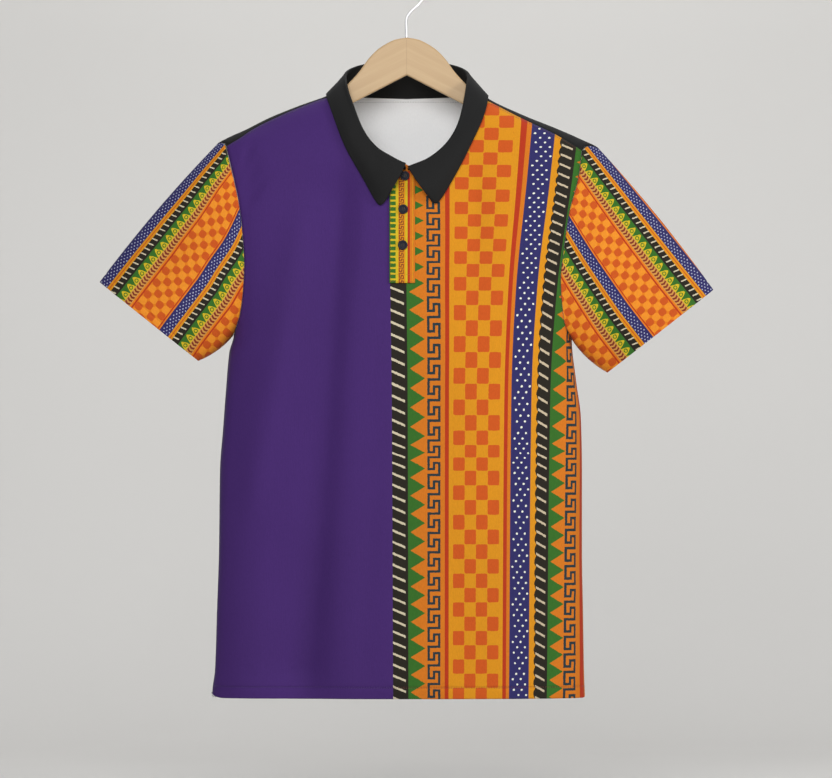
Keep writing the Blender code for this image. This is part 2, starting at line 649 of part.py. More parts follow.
def build_sleeve(name, side, front, back, collection):
    """One sleeve, from just outside its armhole to its open cuff."""
    down, up = armhole(side, front, back)
    ring = down[:-1] + up
    turns = list(lengths(down))[:-1] + [1 + share for share in lengths(up)]
    outer, inner = (Vector((side * mark.x, 0.0, mark.z)) for mark in SLEEVES[side])
    centre, reach = (outer + inner) / 2, (outer - inner) / 2
    across = reach.normalized()
    along = side * Vector((across.z, 0.0, -across.x))
    rows = []
    for step in range(SLEEVE_ROWS + 1):
        share = step / SLEEVE_ROWS
        row = []
        for place, turn in zip(ring, (math.pi * turn for turn in turns)):
            start = place + along * (SLEEVE_START + SLEEVE_TIP * max(0.0, math.cos(turn)) ** 4)
            end = centre + reach * math.cos(turn) - Vector((0, CUFF_HALF_DEPTH * math.sin(turn), 0))
            swell = across * math.cos(turn) - Vector((0, math.sin(turn), 0))
            row.append(start.lerp(end, share) + swell * SLEEVE_SWELL * 4 * share * (1 - share))
        rows.append(row)
    axis_start = sum(ring, Vector()) / len(ring)

    def away(point):
        share = max(0.0, min(1.0, (point - axis_start).dot(along) / (centre - axis_start).dot(along)))
        return point - axis_start.lerp(centre, share)

    return sheet(name, [rows], WALL, "orange", collection, away)


def collar_sections():
    """The collar's sections from its left front end, round the back, to its right front end."""
    sections = []
    for side in (LEFT, RIGHT):
        rows = COLLAR_FRONT[side] + COLLAR_BACK
        ridge_row = len(COLLAR_FRONT[side])
        columns = [(neck.seam_x, *neck.fold, neck.fold_y, *neck.edge) for neck in rows]
        curves = [smooth_through(range(len(rows)), column) for column in zip(*columns)]
        half = []
        for step in range((len(rows) - 1) * COLLAR_STEPS + 1):
            k = step / COLLAR_STEPS
            seam_x, fold_x, fold_z, fold_y, edge_x, edge_z = (float(curve(k)) for curve in curves)
            if k < ridge_row:
                seam, edge = neck_point(side, seam_x), on_body(side * edge_x, edge_z, FRONT)
            else:
                seam = on_body(side * seam_x, float(BACK_NECK_HEIGHT(seam_x)), BACK)
                edge = on_body(side * edge_x, min(edge_z, ridge_height(side, edge_x) - FALL_DROP), BACK)
            if k == ridge_row:
                edge = Vector((side * edge_x, 0.0, ridge_height(side, edge_x)))
            fold = Vector((side * fold_x, fold_y, fold_z))
            half.append((seam, fold, moved_out(edge, FALL_CLEARANCE)))
        sections += half if side == LEFT else half[-2::-1]
    return sections


def collar_row(sections, k):
    """One section of the collar: up the stand's inner face, over the fold and down the fall."""
    seam, fold, edge = sections[k]
    before, after = sections[max(0, k - 1)][1], sections[min(len(sections) - 1, k + 1)][1]
    along = (after - before).normalized()
    up = (Vector((0, 0, 1)) - along * along.z).normalized()
    inward = along.cross(up)
    if inward.dot(Vector((NECK_MIDDLE[0] - fold.x, NECK_MIDDLE[1] - fold.y, 0))) < 0:
        inward = -inward
    normal = outward(seam)
    on = (sections[min(len(sections) - 1, k + 1)][0] - sections[max(0, k - 1)][0]).normalized()
    rise = on.cross(normal).normalized()
    rise = rise if rise.dot(fold - seam) > 0 else -rise
    foot = seam - normal * WALL + rise * COLLAR_STEP
    hold = foot + rise * STAND_HOLD
    centre = fold - up * FOLD_RADIUS
    points = [foot, hold, hold.lerp(centre + inward * FOLD_RADIUS, 0.5) + inward * STAND_BOW]
    for turn in shares(BEND_POINTS - 1):
        angle = math.pi * turn
        points.append(centre + inward * FOLD_RADIUS * math.cos(angle) + up * FOLD_RADIUS * math.sin(angle))
    start = points[-1]
    row = min(k, len(sections) - 1 - k) / COLLAR_STEPS
    lift = LEADING_LIFT * max(0.0, 1 - row / LEADING_ROWS)
    flat = FALL_FLAT * math.exp(-(((row - len(COLLAR_FRONT[LEFT])) / FALL_FLAT_RUN) ** 2))
    for share in shares(FALL_POINTS)[1:]:
        bow = (FALL_BOW * (1 - flat) + lift) * math.sin(math.pi * share)
        bow += lift * LEADING_LEAN * share * (1 - share)
        points.append(start.lerp(edge, share) - inward * bow)
    return points


def build_collar(collection):
    """The stand and the fall as one folded strip."""
    sections = collar_sections()
    rows = [collar_row(sections, k) for k in range(len(sections))]
    collar = sheet("collar", [rows], WALL, "black", collection, lambda point: point - COLLAR_MIDDLE)
    fall_start, faces_across = STAND_POINTS + BEND_POINTS, len(rows[0]) - 1
    falls = [face for face in collar.data.polygons if face.index % faces_across >= fall_start]
    if sum(face.normal.dot(face.center - COLLAR_MIDDLE) for face in falls) < 0:
        collar.data.flip_normals()
    collar.modifiers["Cloth wall"].use_even_offset = True


def build_strip(name, out, tongue, collection):
    """One strip of the placket, made from the panel's own points moved out, or in if out is negative.

    tongue is how far it goes on up between the collar's ends."""
    rows = []
    for step in shares(STRIP_ROWS):
        row = []
        for across in shares(STRIP_COLUMNS):
            x = PLACKET_LEFT + (PLACKET_RIGHT - PLACKET_LEFT) * across
            top = float(NECK_HEIGHT[side_of(x)](abs(x))) - PLACKET_TOP_GAP
            top += tongue * max(0.0, 1 - ((x - TONGUE_X) / TONGUE_HALF) ** 2)
            z = PLACKET_LOW_Z + (top - PLACKET_LOW_Z) * step
            row.append(moved_out(on_body(x, z, FRONT), out))
        rows.append(row)
    return sheet(name, [rows], STRIP_WALL, "orange", collection)


def turned_to(obj, point, direction):
    """Places an object at a point with its Z axis along a direction."""
    obj.location = point
    obj.rotation_mode = "QUATERNION"
    obj.rotation_quaternion = direction.to_track_quat("Z", "Y")


def build_button(name, place, collection, cutters):
    """A dished button with four through holes, flat on the placket."""
    seat = on_body(place[0], place[1], FRONT)
    direction = outward(seat)
    base = seat + direction * (SEAM_GAP + STRIP_WALL + SEAM_GAP)
    half = BUTTON_THICK / 2
    outline = bpy.data.meshes.new(name)
    spots = [(x * BUTTON_RADIUS, 0, z * half) for x, z in BUTTON_PROFILE]
    outline.from_pydata(spots, [(i, i + 1) for i in range(len(spots) - 1)], [])
    button = link(bpy.data.objects.new(name, outline), collection, "navy")
    turn = button.modifiers.new("Turned", "SCREW")
    turn.steps = turn.render_steps = BUTTON_TURNS
    turn.use_merge_vertices = True
    turn.merge_threshold = 0.00005
    turned_to(button, base + direction * half, direction)
    for k in range(BUTTON_HOLES):
        angle = math.pi * (2 * k + 1) / BUTTON_HOLES
        offset = Vector((math.cos(angle), math.sin(angle), 0)) * BUTTON_HOLE_SPREAD
        bpy.ops.mesh.primitive_cylinder_add(
            vertices=BUTTON_HOLE_SIDES, radius=BUTTON_HOLE_RADIUS, depth=BUTTON_THICK * 3
        )
        drill = link(bpy.context.object, cutters)
        drill.name = f"{name}_drill_{k}"
        turned_to(drill, button.location + button.rotation_quaternion @ offset, direction)
        drill.hide_render = True
        drill.display_type = "WIRE"
        hole = button.modifiers.new(f"Hole {k}", "BOOLEAN")
        hole.operation = "DIFFERENCE"
        hole.solver = "EXACT"
        hole.object = drill
    return button


def wood_half(side):
    """Half of the wood's outline: its top edge out to the tip, round it, and its underside back."""
    top = resampled(WOOD_TOP, shares(WOOD_TOP_STEPS))
    last = top[-1][0]
    arm_end = WOOD_HALF_WIDTH - ARM_HEIGHT / 2
    for share in shares(WOOD_ARM_STEPS)[1:]:
        x = last + (arm_end - last) * share
        top.append((x, ridge_height(side, max(x, BODY_WIDTHS[side][0].x)) - WOOD_UNDER_CLOTH))
    tip_x, tip_z = top[-1]
    slope = math.atan2(top[-2][1] - tip_z, tip_x - top[-2][0])
    radius = ARM_HEIGHT / 2
    centre = (tip_x - radius * math.sin(slope), tip_z - radius * math.cos(slope))
    end = []
    for step in range(1, WOOD_END_STEPS):
        angle = math.pi / 2 - slope - math.pi * step / WOOD_END_STEPS
        end.append((centre[0] + radius * math.cos(angle), centre[1] + radius * math.sin(angle)))
    under = [(0.0, WOOD_NOTCH_Z), (UNDER_BEND_X, WOOD_NOTCH_Z - ARM_UNDER_SLOPE * UNDER_BEND_X)]
    foot = (centre[0] - radius * math.sin(slope), centre[1] - radius * math.cos(slope))
    outline = top + end + [foot] + under[::-1]
    return [(side * x, z) for x, z in outline]


def build_wood(collection, cutters):
    """The hanger's wood, flat, with a blind hole for the hook's stem."""
    outline = wood_half(RIGHT) + wood_half(LEFT)[::-1][1:-1]
    curve = bpy.data.curves.new("hanger_wood_outline", "CURVE")
    curve.dimensions = "2D"
    curve.fill_mode = "BOTH"
    curve.extrude = WOOD_THICK / 2
    spline = curve.splines.new("POLY")
    spline.points.add(len(outline) - 1)
    for point, (x, z) in zip(spline.points, outline):
        point.co = (x, z, 0.0, 1.0)
    spline.use_cyclic_u = True
    flat = link(bpy.data.objects.new("hanger_wood_outline", curve), collection)
    flat.rotation_euler = (math.pi / 2, 0, 0)
    bpy.context.view_layer.update()
    graph = bpy.context.evaluated_depsgraph_get()
    data = bpy.data.meshes.new_from_object(flat.evaluated_get(graph))
    data.transform(flat.matrix_world)
    bpy.data.objects.remove(flat)
    mesh = bmesh.new()
    mesh.from_mesh(data)
    bmesh.ops.remove_doubles(mesh, verts=mesh.verts, dist=0.00001)
    bmesh.ops.dissolve_limit(
        mesh, angle_limit=math.radians(WOOD_FLAT_ANGLE), verts=mesh.verts, edges=mesh.edges
    )
    bmesh.ops.recalc_face_normals(mesh, faces=mesh.faces)
    mesh.to_mesh(data)
    mesh.free()
    data.name = "hanger_wood"
    wood = link(bpy.data.objects.new("hanger_wood", data), collection, "wood")
    rounding = wood.modifiers.new("Rounded edges", "BEVEL")
    rounding.width = WOOD_ROUNDING
    rounding.segments = 2
    rounding.limit_method = "ANGLE"
    rounding.angle_limit = math.radians(WOOD_BEVEL_ANGLE)
    bpy.ops.mesh.primitive_cylinder_add(
        vertices=STEM_HOLE_SIDES,
        radius=WIRE_RADIUS + HOLE_CLEARANCE,
        depth=2 * (STEM_DEPTH + HOLE_CLEARANCE),
        location=(STEM_X, 0, WOOD_TOP_Z),
    )
    drill = link(bpy.context.object, cutters)
    drill.name = "stem_drill"
    drill.hide_render = True
    drill.display_type = "WIRE"
    hole = wood.modifiers.new("Stem hole", "BOOLEAN")
    hole.operation = "DIFFERENCE"
    hole.solver = "EXACT"
    hole.object = drill


def build_hook(collection):
    """The hook: a straight stem, a small bend, and most of a circle open on the left."""
    centre_z = WIRE_RADIUS - HOOK_RADIUS
    arc = [math.radians(HOOK_FROM + (HOOK_TO - HOOK_FROM) * share) for share in shares(HOOK_STEPS)]
    route = [(STEM_X, WOOD_TOP_Z - STEM_DEPTH), (STEM_X, WOOD_TOP_Z + STEM_BARE), (STEM_X, STEM_TOP_Z)]
    route += [tuple(mark) for mark in HOOK_BEND]
    route += [(HOOK_RADIUS * math.cos(a), centre_z + HOOK_RADIUS * math.sin(a)) for a in arc]
    curve = bpy.data.curves.new("hanger_hook", "CURVE")
    curve.dimensions = "3D"
    curve.bevel_depth = WIRE_RADIUS
    curve.bevel_resolution = 3
    curve.use_fill_caps = True
    spline = curve.splines.new("POLY")
    spline.points.add(len(route) - 1)
    for point, (x, z) in zip(spline.points, route):
        point.co = (x, 0.0, z, 1.0)
    link(bpy.data.objects.new("hanger_hook", curve), collection, "chrome")


def clear_scene():
    for obj in list(bpy.data.objects):
        bpy.data.objects.remove(obj)


def named_collection(name):
    made = bpy.data.collections.new(name)
    bpy.context.scene.collection.children.link(made)
    return made


def main():
    clear_scene()
    shirt, cutters = named_collection("kente print polo shirt"), named_collection("cutters")
    front = build_front(shirt)
    back = build_back(shirt)
    build_sleeve("sleeve_left", LEFT, front, back, shirt)
    build_sleeve("sleeve_right", RIGHT, front, back, shirt)
    build_collar(shirt)
    build_strip("placket_over", SEAM_GAP + STRIP_WALL, 0.0, shirt)
    build_strip("placket_under", -(WALL + SEAM_GAP), TONGUE_RISE, shirt)
    for name, place in BUTTONS.items():
        build_button(name, place, shirt, cutters)
    build_wood(shirt, cutters)
    build_hook(shirt)


main()
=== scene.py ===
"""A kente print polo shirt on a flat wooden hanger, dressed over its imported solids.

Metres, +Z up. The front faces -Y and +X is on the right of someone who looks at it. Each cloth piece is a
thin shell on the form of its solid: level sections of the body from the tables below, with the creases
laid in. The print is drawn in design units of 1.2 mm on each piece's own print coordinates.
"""

import logging
import math
from dataclasses import dataclass, field
from enum import Enum
from typing import Callable, ClassVar, NamedTuple, Optional, Sequence, Union

import bmesh
import bpy
import numpy as np
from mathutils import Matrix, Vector


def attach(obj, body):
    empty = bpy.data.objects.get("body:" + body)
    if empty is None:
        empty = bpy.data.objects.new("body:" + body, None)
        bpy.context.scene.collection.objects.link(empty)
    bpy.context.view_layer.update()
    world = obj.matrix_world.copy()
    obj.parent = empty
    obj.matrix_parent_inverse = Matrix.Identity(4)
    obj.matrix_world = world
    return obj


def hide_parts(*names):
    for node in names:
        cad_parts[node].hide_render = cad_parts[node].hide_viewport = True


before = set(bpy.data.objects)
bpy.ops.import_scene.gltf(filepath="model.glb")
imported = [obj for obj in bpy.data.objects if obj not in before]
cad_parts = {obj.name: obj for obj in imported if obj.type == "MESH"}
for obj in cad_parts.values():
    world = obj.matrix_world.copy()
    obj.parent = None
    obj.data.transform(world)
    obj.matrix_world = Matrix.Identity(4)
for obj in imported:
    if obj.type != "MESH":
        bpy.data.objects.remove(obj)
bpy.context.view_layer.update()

log = logging.getLogger("kente_polo_shirt")

UNIT = 0.0012  # one design unit of the print, in metres
STITCH_LIFT = 0.00025
Curve = Callable[[np.ndarray], np.ndarray]
Colour = tuple[float, float, float, float]
Noise = tuple[float, float, float]  # its scale, its detail, and how it is squeezed along the cloth


class Side(Enum):
    """Which half of the shirt, seen from the front."""

    LEFT = -1
    RIGHT = 1


LEFT, RIGHT = Side.LEFT, Side.RIGHT


class Face(Enum):
    """Which face of the shirt."""

    FRONT = -1
    BACK = 1


class Motif(Enum):
    """What is printed on a lengthwise band."""

    DASHES = "slanted dashes"
    TRIANGLES = "interlocking triangles"
    MEANDER = "key meander"
    CHECKS = "offset rounded checks"
    DOTS = "dots in shifted rows"
    ARCHES = "arches with a ring in each"
    TEETH = "bent bars"
    SCALLOPS = "waved edge"
    BLOCKS = "a comb of blocks"
    LINE = "thin line"


class Ink(Enum):
    """The print's and the yarns' colours, as display values from 0 to 255."""

    PURPLE = (68, 40, 106)
    GOLD = (213, 141, 27)
    ORANGE = (207, 116, 30)
    RED_ORANGE = (199, 85, 29)
    RED = (178, 54, 26)
    GREEN = (54, 106, 38)
    BLUE = (48, 46, 98)
    BLACK_BAND = (40, 36, 29)
    CREAM = (205, 194, 166)
    PINKISH = (196, 180, 152)
    TEAL = (38, 55, 61)
    DOT = (228, 230, 216)
    PALE_BLUE = (176, 180, 206)
    YELLOW = (206, 178, 36)
    TANGERINE = (222, 123, 27)
    AMBER = (232, 142, 40)
    MAROON = (124, 48, 34)
    TAN = (205, 148, 74)
    BLACK = (31, 31, 31)
    WHITE = (250, 250, 250)

    @property
    def linear(self) -> Colour:
        """The colour in linear light, with alpha."""
        parts = [v / 255 for v in self.value]
        return (*[v / 12.92 if v <= 0.04045 else ((v + 0.055) / 1.055) ** 2.4 for v in parts], 1.0)


class Mark(NamedTuple):
    """A place on a panel, seen from the front, on either half."""

    x: float
    z: float


class Width(NamedTuple):
    """Half width of the body at a height."""

    z: float
    x: float


class Depth(NamedTuple):
    """How far the body's section reaches to the front and to the back at a height."""

    z: float
    front: float
    back: float


class Neck(NamedTuple):
    """One section of the collar: where it is sewn, where it folds, and its free edge."""

    seam_x: float
    fold_x: float
    fold_z: float
    fold_y: float
    edge_x: float
    edge_z: float


class Fold(NamedTuple):
    """A soft trough, or a ridge if its depths are negative, that runs down a panel through its marks."""

    top_x: float
    top: float
    middle_x: float
    middle: float
    low_x: float
    low: float
    depth_top: float
    depth_low: float
    width: float
    left_width: float = 0.0  # to the left of its line, where it is not the same there


class Crease(NamedTuple):
    """A soft crease of a sleeve: its turn in half circles, its share of the length, its width and its depth."""

    turn: float
    share: float
    width: float
    depth: float


class Grid(NamedTuple):
    """Rows of points of a sheet's outer face, and each point's place in the print, in design units."""

    points: np.ndarray
    places: np.ndarray


class Band(NamedTuple):
    """One lengthwise band of the print and what is drawn on it, in design units."""

    start: float
    end: float
    ground: Ink
    motif: Optional[Motif] = None
    ink: Optional[Ink] = None
    pitch: float = 1.0
    phase: float = 0.0
    slope: float = 0.56  # of its dashes


def measured(columns: type, *lengths_mm: tuple) -> list:
    """The rows of a table whose columns a class names, from lengths in millimetres."""
    return [columns(*(length / 1000 for length in row)) for row in lengths_mm]


def smooth_through(places: Sequence[float], values: Sequence[float]) -> Curve:
    """A smooth curve through values at places, which never swings past them.

    Args:
        places: where the values hold, in any order.
        values: the values there.

    Returns:
        A function of an array of places.
    """
    order = np.argsort(np.array(places, float))
    at, value = np.array(places, float)[order], np.array(values, float)[order]
    step = np.diff(at)
    grade = np.diff(value) / step
    slope = np.zeros_like(value)
    same_way = grade[:-1] * grade[1:] > 0
    both = np.where(same_way, grade[:-1] + grade[1:], 1.0)
    slope[1:-1] = np.where(same_way, 2 * grade[:-1] * grade[1:] / both, 0.0)
    slope[0], slope[-1] = grade[0], grade[-1]

    def curve(where: np.ndarray) -> np.ndarray:
        where = np.clip(where, at[0], at[-1])
        k = np.clip(np.searchsorted(at, where) - 1, 0, len(step) - 1)
        t = (where - at[k]) / step[k]
        return (
            (1 + 2 * t) * (1 - t) ** 2 * value[k]
            + t * (1 - t) ** 2 * step[k] * slope[k]
            + t * t * (3 - 2 * t) * value[k + 1]
            + t * t * (t - 1) * step[k] * slope[k + 1]
        )

    return curve


def through(marks: Sequence[Mark]) -> Curve:
    """Heights by x, on a smooth curve through marks."""
    return smooth_through(*zip(*marks))


def of_points(*points: tuple[float, float]) -> Curve:
    """A class field for a smooth curve through points."""
    return field(default_factory=lambda: smooth_through(*zip(*points)))


def lengths(points: np.ndarray) -> np.ndarray:
    """Shares of a line's length at its points."""
    run = np.concatenate([[0.0], np.cumsum(np.linalg.norm(np.diff(points, axis=0), axis=1))])
    return run / run[-1]


def resampled(marks: Sequence[tuple], steps: np.ndarray) -> np.ndarray:
    """Places at shares of the length of a smooth line through marks."""
    marks = np.array(marks, float)
    run = lengths(marks)
    return np.stack([smooth_through(run, column)(steps) for column in marks.T], axis=1)


def shares(count: int, power: float = 1.0) -> np.ndarray:
    """Shares from 0 to 1, closer together near 0 if the power is over 1."""
    return (np.arange(count + 1) / count) ** power


def filled(outer: np.ndarray, inner: np.ndarray, low: np.ndarray, high: np.ndarray) -> np.ndarray:
    """Rows of places that fill a four-sided outline, from its two sides and its two ends."""
    u = ((lengths(low) + lengths(high)) / 2)[None, :, None]
    v = ((lengths(outer) + lengths(inner)) / 2)[:, None, None]
    corners = (1 - u) * (1 - v) * low[0] + u * (1 - v) * low[-1] + (1 - u) * v * high[0] + u * v * high[-1]
    return (1 - u) * outer[:, None] + u * inner[:, None] + (1 - v) * low[None] + v * high[None] - corners


@dataclass(frozen=True)
class BodyForm:
    """The hollow form that every panel lies on, and the creases in it."""

    roundness: float = 2.4
    fold_fade: float = 0.060
    fade_share: float = 0.4
    side_fade: float = 0.06
    hem_z: float = -0.8769
    hem_corners: dict = field(default_factory=lambda: {LEFT: 0.006, RIGHT: 0.0015})
    hem_run: float = 2.5
    hem_height: float = 0.0138
    hem_groove: float = 0.0007
    groove_width: float = 0.0014
    hem_lean: float = 0.0018
    hem_rows: tuple[float, ...] = (0.0, 0.0015, 0.006, 0.011, 0.0124, 0.0131, 0.0138, 0.0145, 0.0152, 0.0166, 0.020)
    shoulders_over: float = -0.3
    shallow: float = 0.01  # depth of the body under which the creases fade
    halvings: int = 40
    settlings: int = 6
    near_side: float = 0.98
    widths: dict = field(default_factory=lambda: BODY_WIDTHS)
    depths: Sequence[Depth] = field(default_factory=lambda: BODY_DEPTHS)
    folds: dict = field(default_factory=lambda: FOLDS)

    def half_width(self, x: np.ndarray, z: np.ndarray) -> np.ndarray:
        """Half width at height z, on the side that x lies on."""
        curves = {side: smooth_through(*zip(*rows)) for side, rows in self.widths.items()}
        return np.where(x >= 0, curves[RIGHT](z), curves[LEFT](z))

    def depth(self, face: Face, z: np.ndarray) -> np.ndarray:
        """Depth of one face's section at height z."""
        heights = [row.z for row in self.depths]
        return smooth_through(heights, [row.front if face is Face.FRONT else row.back for row in self.depths])(z)

    def ridge_height(self, side: Side, x: np.ndarray) -> np.ndarray:
        """Height of the shoulder's ridge at a distance x from the middle."""
        rows = self.widths[side]
        low = np.full_like(x, rows[0].z)
        high = np.full_like(x, max((row.x, row.z) for row in rows if row.z > self.shoulders_over)[1])
        for _ in range(self.halvings):
            middle = (low + high) / 2
            inside = self.half_width(x * side.value, middle) < x
            low, high = np.where(inside, middle, low), np.where(inside, high, middle)
        return (low + high) / 2

    def pressed_in(self, face: Face, x: np.ndarray, z: np.ndarray) -> np.ndarray:
        """How far the creases and the hem's stitch groove press one face in."""
        total = np.zeros_like(x)
        for fold in self.folds[face]:
            path = smooth_through((fold.top, fold.middle, fold.low), (fold.top_x, fold.middle_x, fold.low_x))
            run = fold.top - fold.low
            share = np.clip((fold.top - z) / run, 0, 1)
            depth = fold.depth_top + (fold.depth_low - fold.depth_top) * share
            fade = min(self.fold_fade, self.fade_share * run)
            rise = np.clip(np.minimum(fold.top - z, z - fold.low) / fade, 0, 1)
            off = x - path(z)
            width = np.where(off < 0, fold.left_width or fold.width, fold.width)
            total += depth * rise**2 * (3 - 2 * rise) * np.exp(-((off / width) ** 2))
        edge = 1 - np.abs(x) / self.half_width(x, z)
        total *= np.clip(edge / self.side_fade, 0, 1)
        groove = np.exp(-(((z - self.hem_z - self.hem_height) / self.groove_width) ** 2))
        below = np.clip((self.hem_z + self.hem_height - z) / self.hem_height, 0, 1)
        return total + self.hem_groove * groove + self.hem_lean * below

    def on_body(self, x: np.ndarray, z: np.ndarray, face: Face) -> np.ndarray:
        """Points of the outer face at x and z.

        Args:
            x: distances to the right of the middle.
            z: heights.
            face: the front or the back.

        Returns:
            The points, in an array with one more axis than x.
        """
        x, z = np.broadcast_arrays(np.asarray(x, float), np.asarray(z, float))
        reach = np.minimum(1.0, np.abs(x) / self.half_width(x, z))
        deep = self.depth(face, z) * (1 - reach**self.roundness) ** (1 / self.roundness)
        deep = np.maximum(0.0, deep - self.pressed_in(face, x, z) * np.clip(deep / self.shallow, 0, 1))
        return np.stack([x, face.value * deep, z], axis=-1)

    def outward(self, points: np.ndarray) -> np.ndarray:
        """Directions straight out of the form at points on it."""
        x, y, z = points[..., 0], points[..., 1], points[..., 2]
        step, power = 0.0005, self.roundness

        def section(at: np.ndarray) -> np.ndarray:
            depth = np.where(y < 0, self.depth(Face.FRONT, at), self.depth(Face.BACK, at))
            return np.stack([self.half_width(x, at), depth])

        width, depth = section(z)
        width_slope, depth_slope = (section(z + step) - section(z - step)) / (2 * step)
        across, along = np.abs(x) / width, np.abs(y) / depth
        parts = [
            np.sign(x) * across ** (power - 1) / width,
            np.sign(y) * along ** (power - 1) / depth,
            -(across**power) * width_slope / width - along**power * depth_slope / depth,
        ]
        direction = np.stack(parts, axis=-1)
        return direction / np.linalg.norm(direction, axis=-1, keepdims=True)

    def over_shoulder(self, side: Side, x: np.ndarray, y: np.ndarray) -> np.ndarray:
        """The points in front of the shoulder's ridge that lie y forward at x."""
        x, y = np.broadcast_arrays(np.asarray(x, float), np.asarray(y, float))
        z = self.ridge_height(side, x)
        for _ in range(self.settlings):
            share = np.minimum(self.near_side, np.abs(y) / self.depth(Face.FRONT, z))
            z = self.ridge_height(side, x / (1 - share**self.roundness) ** (1 / self.roundness))
        return np.stack([side.value * x, -np.abs(y), z], axis=-1)

    def hem_rounded(self, x: np.ndarray, z: np.ndarray) -> np.ndarray:
        """Heights with the hem's corner at each side seam cut a little round."""
        reach = self.half_width(x, np.full_like(x, self.hem_z)) - np.abs(x)
        corner = np.where(x >= 0, self.hem_corners[RIGHT], self.hem_corners[LEFT])
        rise = np.maximum(0.0, 1 - reach / (self.hem_run * corner))
        return np.where(z <= self.hem_z + 1e-9, self.hem_z + corner * rise**3, z)

    def hem_line(self, x: np.ndarray) -> np.ndarray:
        """Places along the hem at x."""
        return np.stack([x, np.full_like(x, self.hem_z)], axis=1)

    def side_seam(self, side: Side, top: float, count: int) -> np.ndarray:
        """Distances out and heights of one side seam, from the hem up to a level."""
        heights = self.rows_up(top, count)
        return np.stack([self.half_width(np.full_like(heights, side.value), heights), heights], axis=1)

    def rows_up(self, top: float, count: int) -> np.ndarray:
        """Heights from the hem to a level, with close rows where the hem is stitched."""
        rest = np.linspace(self.hem_z + self.hem_rows[-1], top, count + 1)[1:]
        return np.concatenate([self.hem_z + np.array(self.hem_rows), rest])


# The shirt's measures in millimetres, from the rest inside the top of the hanger's hook
BODY_WIDTHS = {
    LEFT: measured(
        Width,
        (-153.1, 91.2), (-155.3, 96), (-167.6, 130.3), (-181.5, 164.6), (-196.5, 194.6), (-206.2, 216),
        (-213.2, 227.8), (-220, 232), (-235, 232.5), (-255.9, 228), (-327.9, 219), (-399.9, 211.2),
        (-441.9, 207.6), (-462.3, 212.9), (-507.9, 217), (-555.9, 220.6), (-603.9, 224.2), (-699.9, 225.4),
        (-771.9, 227.8), (-843.9, 230.2), (-869.1, 233.3), (-876.9, 233.5),
    ),
    RIGHT: measured(
        Width,
        (-153.1, 91.2), (-157.4, 96.2), (-179.7, 142.6), (-193.6, 177.4), (-206.6, 207.2), (-218.6, 230.6),
        (-226, 235), (-255.9, 230), (-327.9, 216), (-399.9, 204), (-447.9, 198), (-495.9, 203),
        (-543.9, 209), (-603.9, 210.2), (-699.9, 210.2), (-771.9, 211.4), (-843.9, 212.6), (-876.9, 213.8),
    ),
}
BODY_DEPTHS = measured(
    Depth,
    (-152.7, 26, 50), (-183.9, 38, 54), (-243.9, 52, 58), (-339.9, 64, 62), (-447.9, 69, 62),
    (-603.9, 67, 58), (-759.9, 65, 56), (-877.5, 65, 56),
)
SHOULDER_SEAM = {
    LEFT: measured(
        Mark,
        (216, -216.3), (201, -207.3), (183.8, -195.4), (151.7, -179.5), (129.2, -169.7), (96, -158),
        (89.4, -156.9),
    ),
    RIGHT: measured(
        Mark,
        (209.3, -221.6), (194, -211.5), (177.8, -202.1), (137.6, -182.7), (96.2, -161.3), (89.4, -158.1),
    ),
}
FRONT_ARMHOLE = {
    LEFT: measured(
        Mark,
        (207.6, -441.9), (199.3, -416), (195.5, -387.2), (194.2, -358.5), (196.4, -320.2), (200.3, -287.7),
        (206, -259), (211.8, -234.2), (216, -216.3),
    ),
    RIGHT: measured(
        Mark,
        (198, -447.9), (187.8, -424.7), (183.8, -374.9), (186.7, -347.1), (193.7, -297.4), (205, -253.5),
        (209.3, -221.6),
    ),
}
BACK_ARMHOLE = {
    LEFT: measured(
        Mark,
        (207.6, -441.9), (204, -416), (201, -358.5), (206, -287.7), (218, -234.2), (227.8, -213.2),
    ),
    RIGHT: measured(
        Mark,
        (198, -447.9), (193, -424.7), (193, -360), (203, -287.7), (219, -240), (230.6, -218.6),
    ),
}
FRONT_NECK = measured(Mark, (0, -246.5), (30, -235.5), (54, -213.9), (72, -186.3), (84, -165.9))
BACK_NECK = measured(Mark, (91.2, -153.1), (79.2, -153.7), (48, -155.7), (0, -157.4))
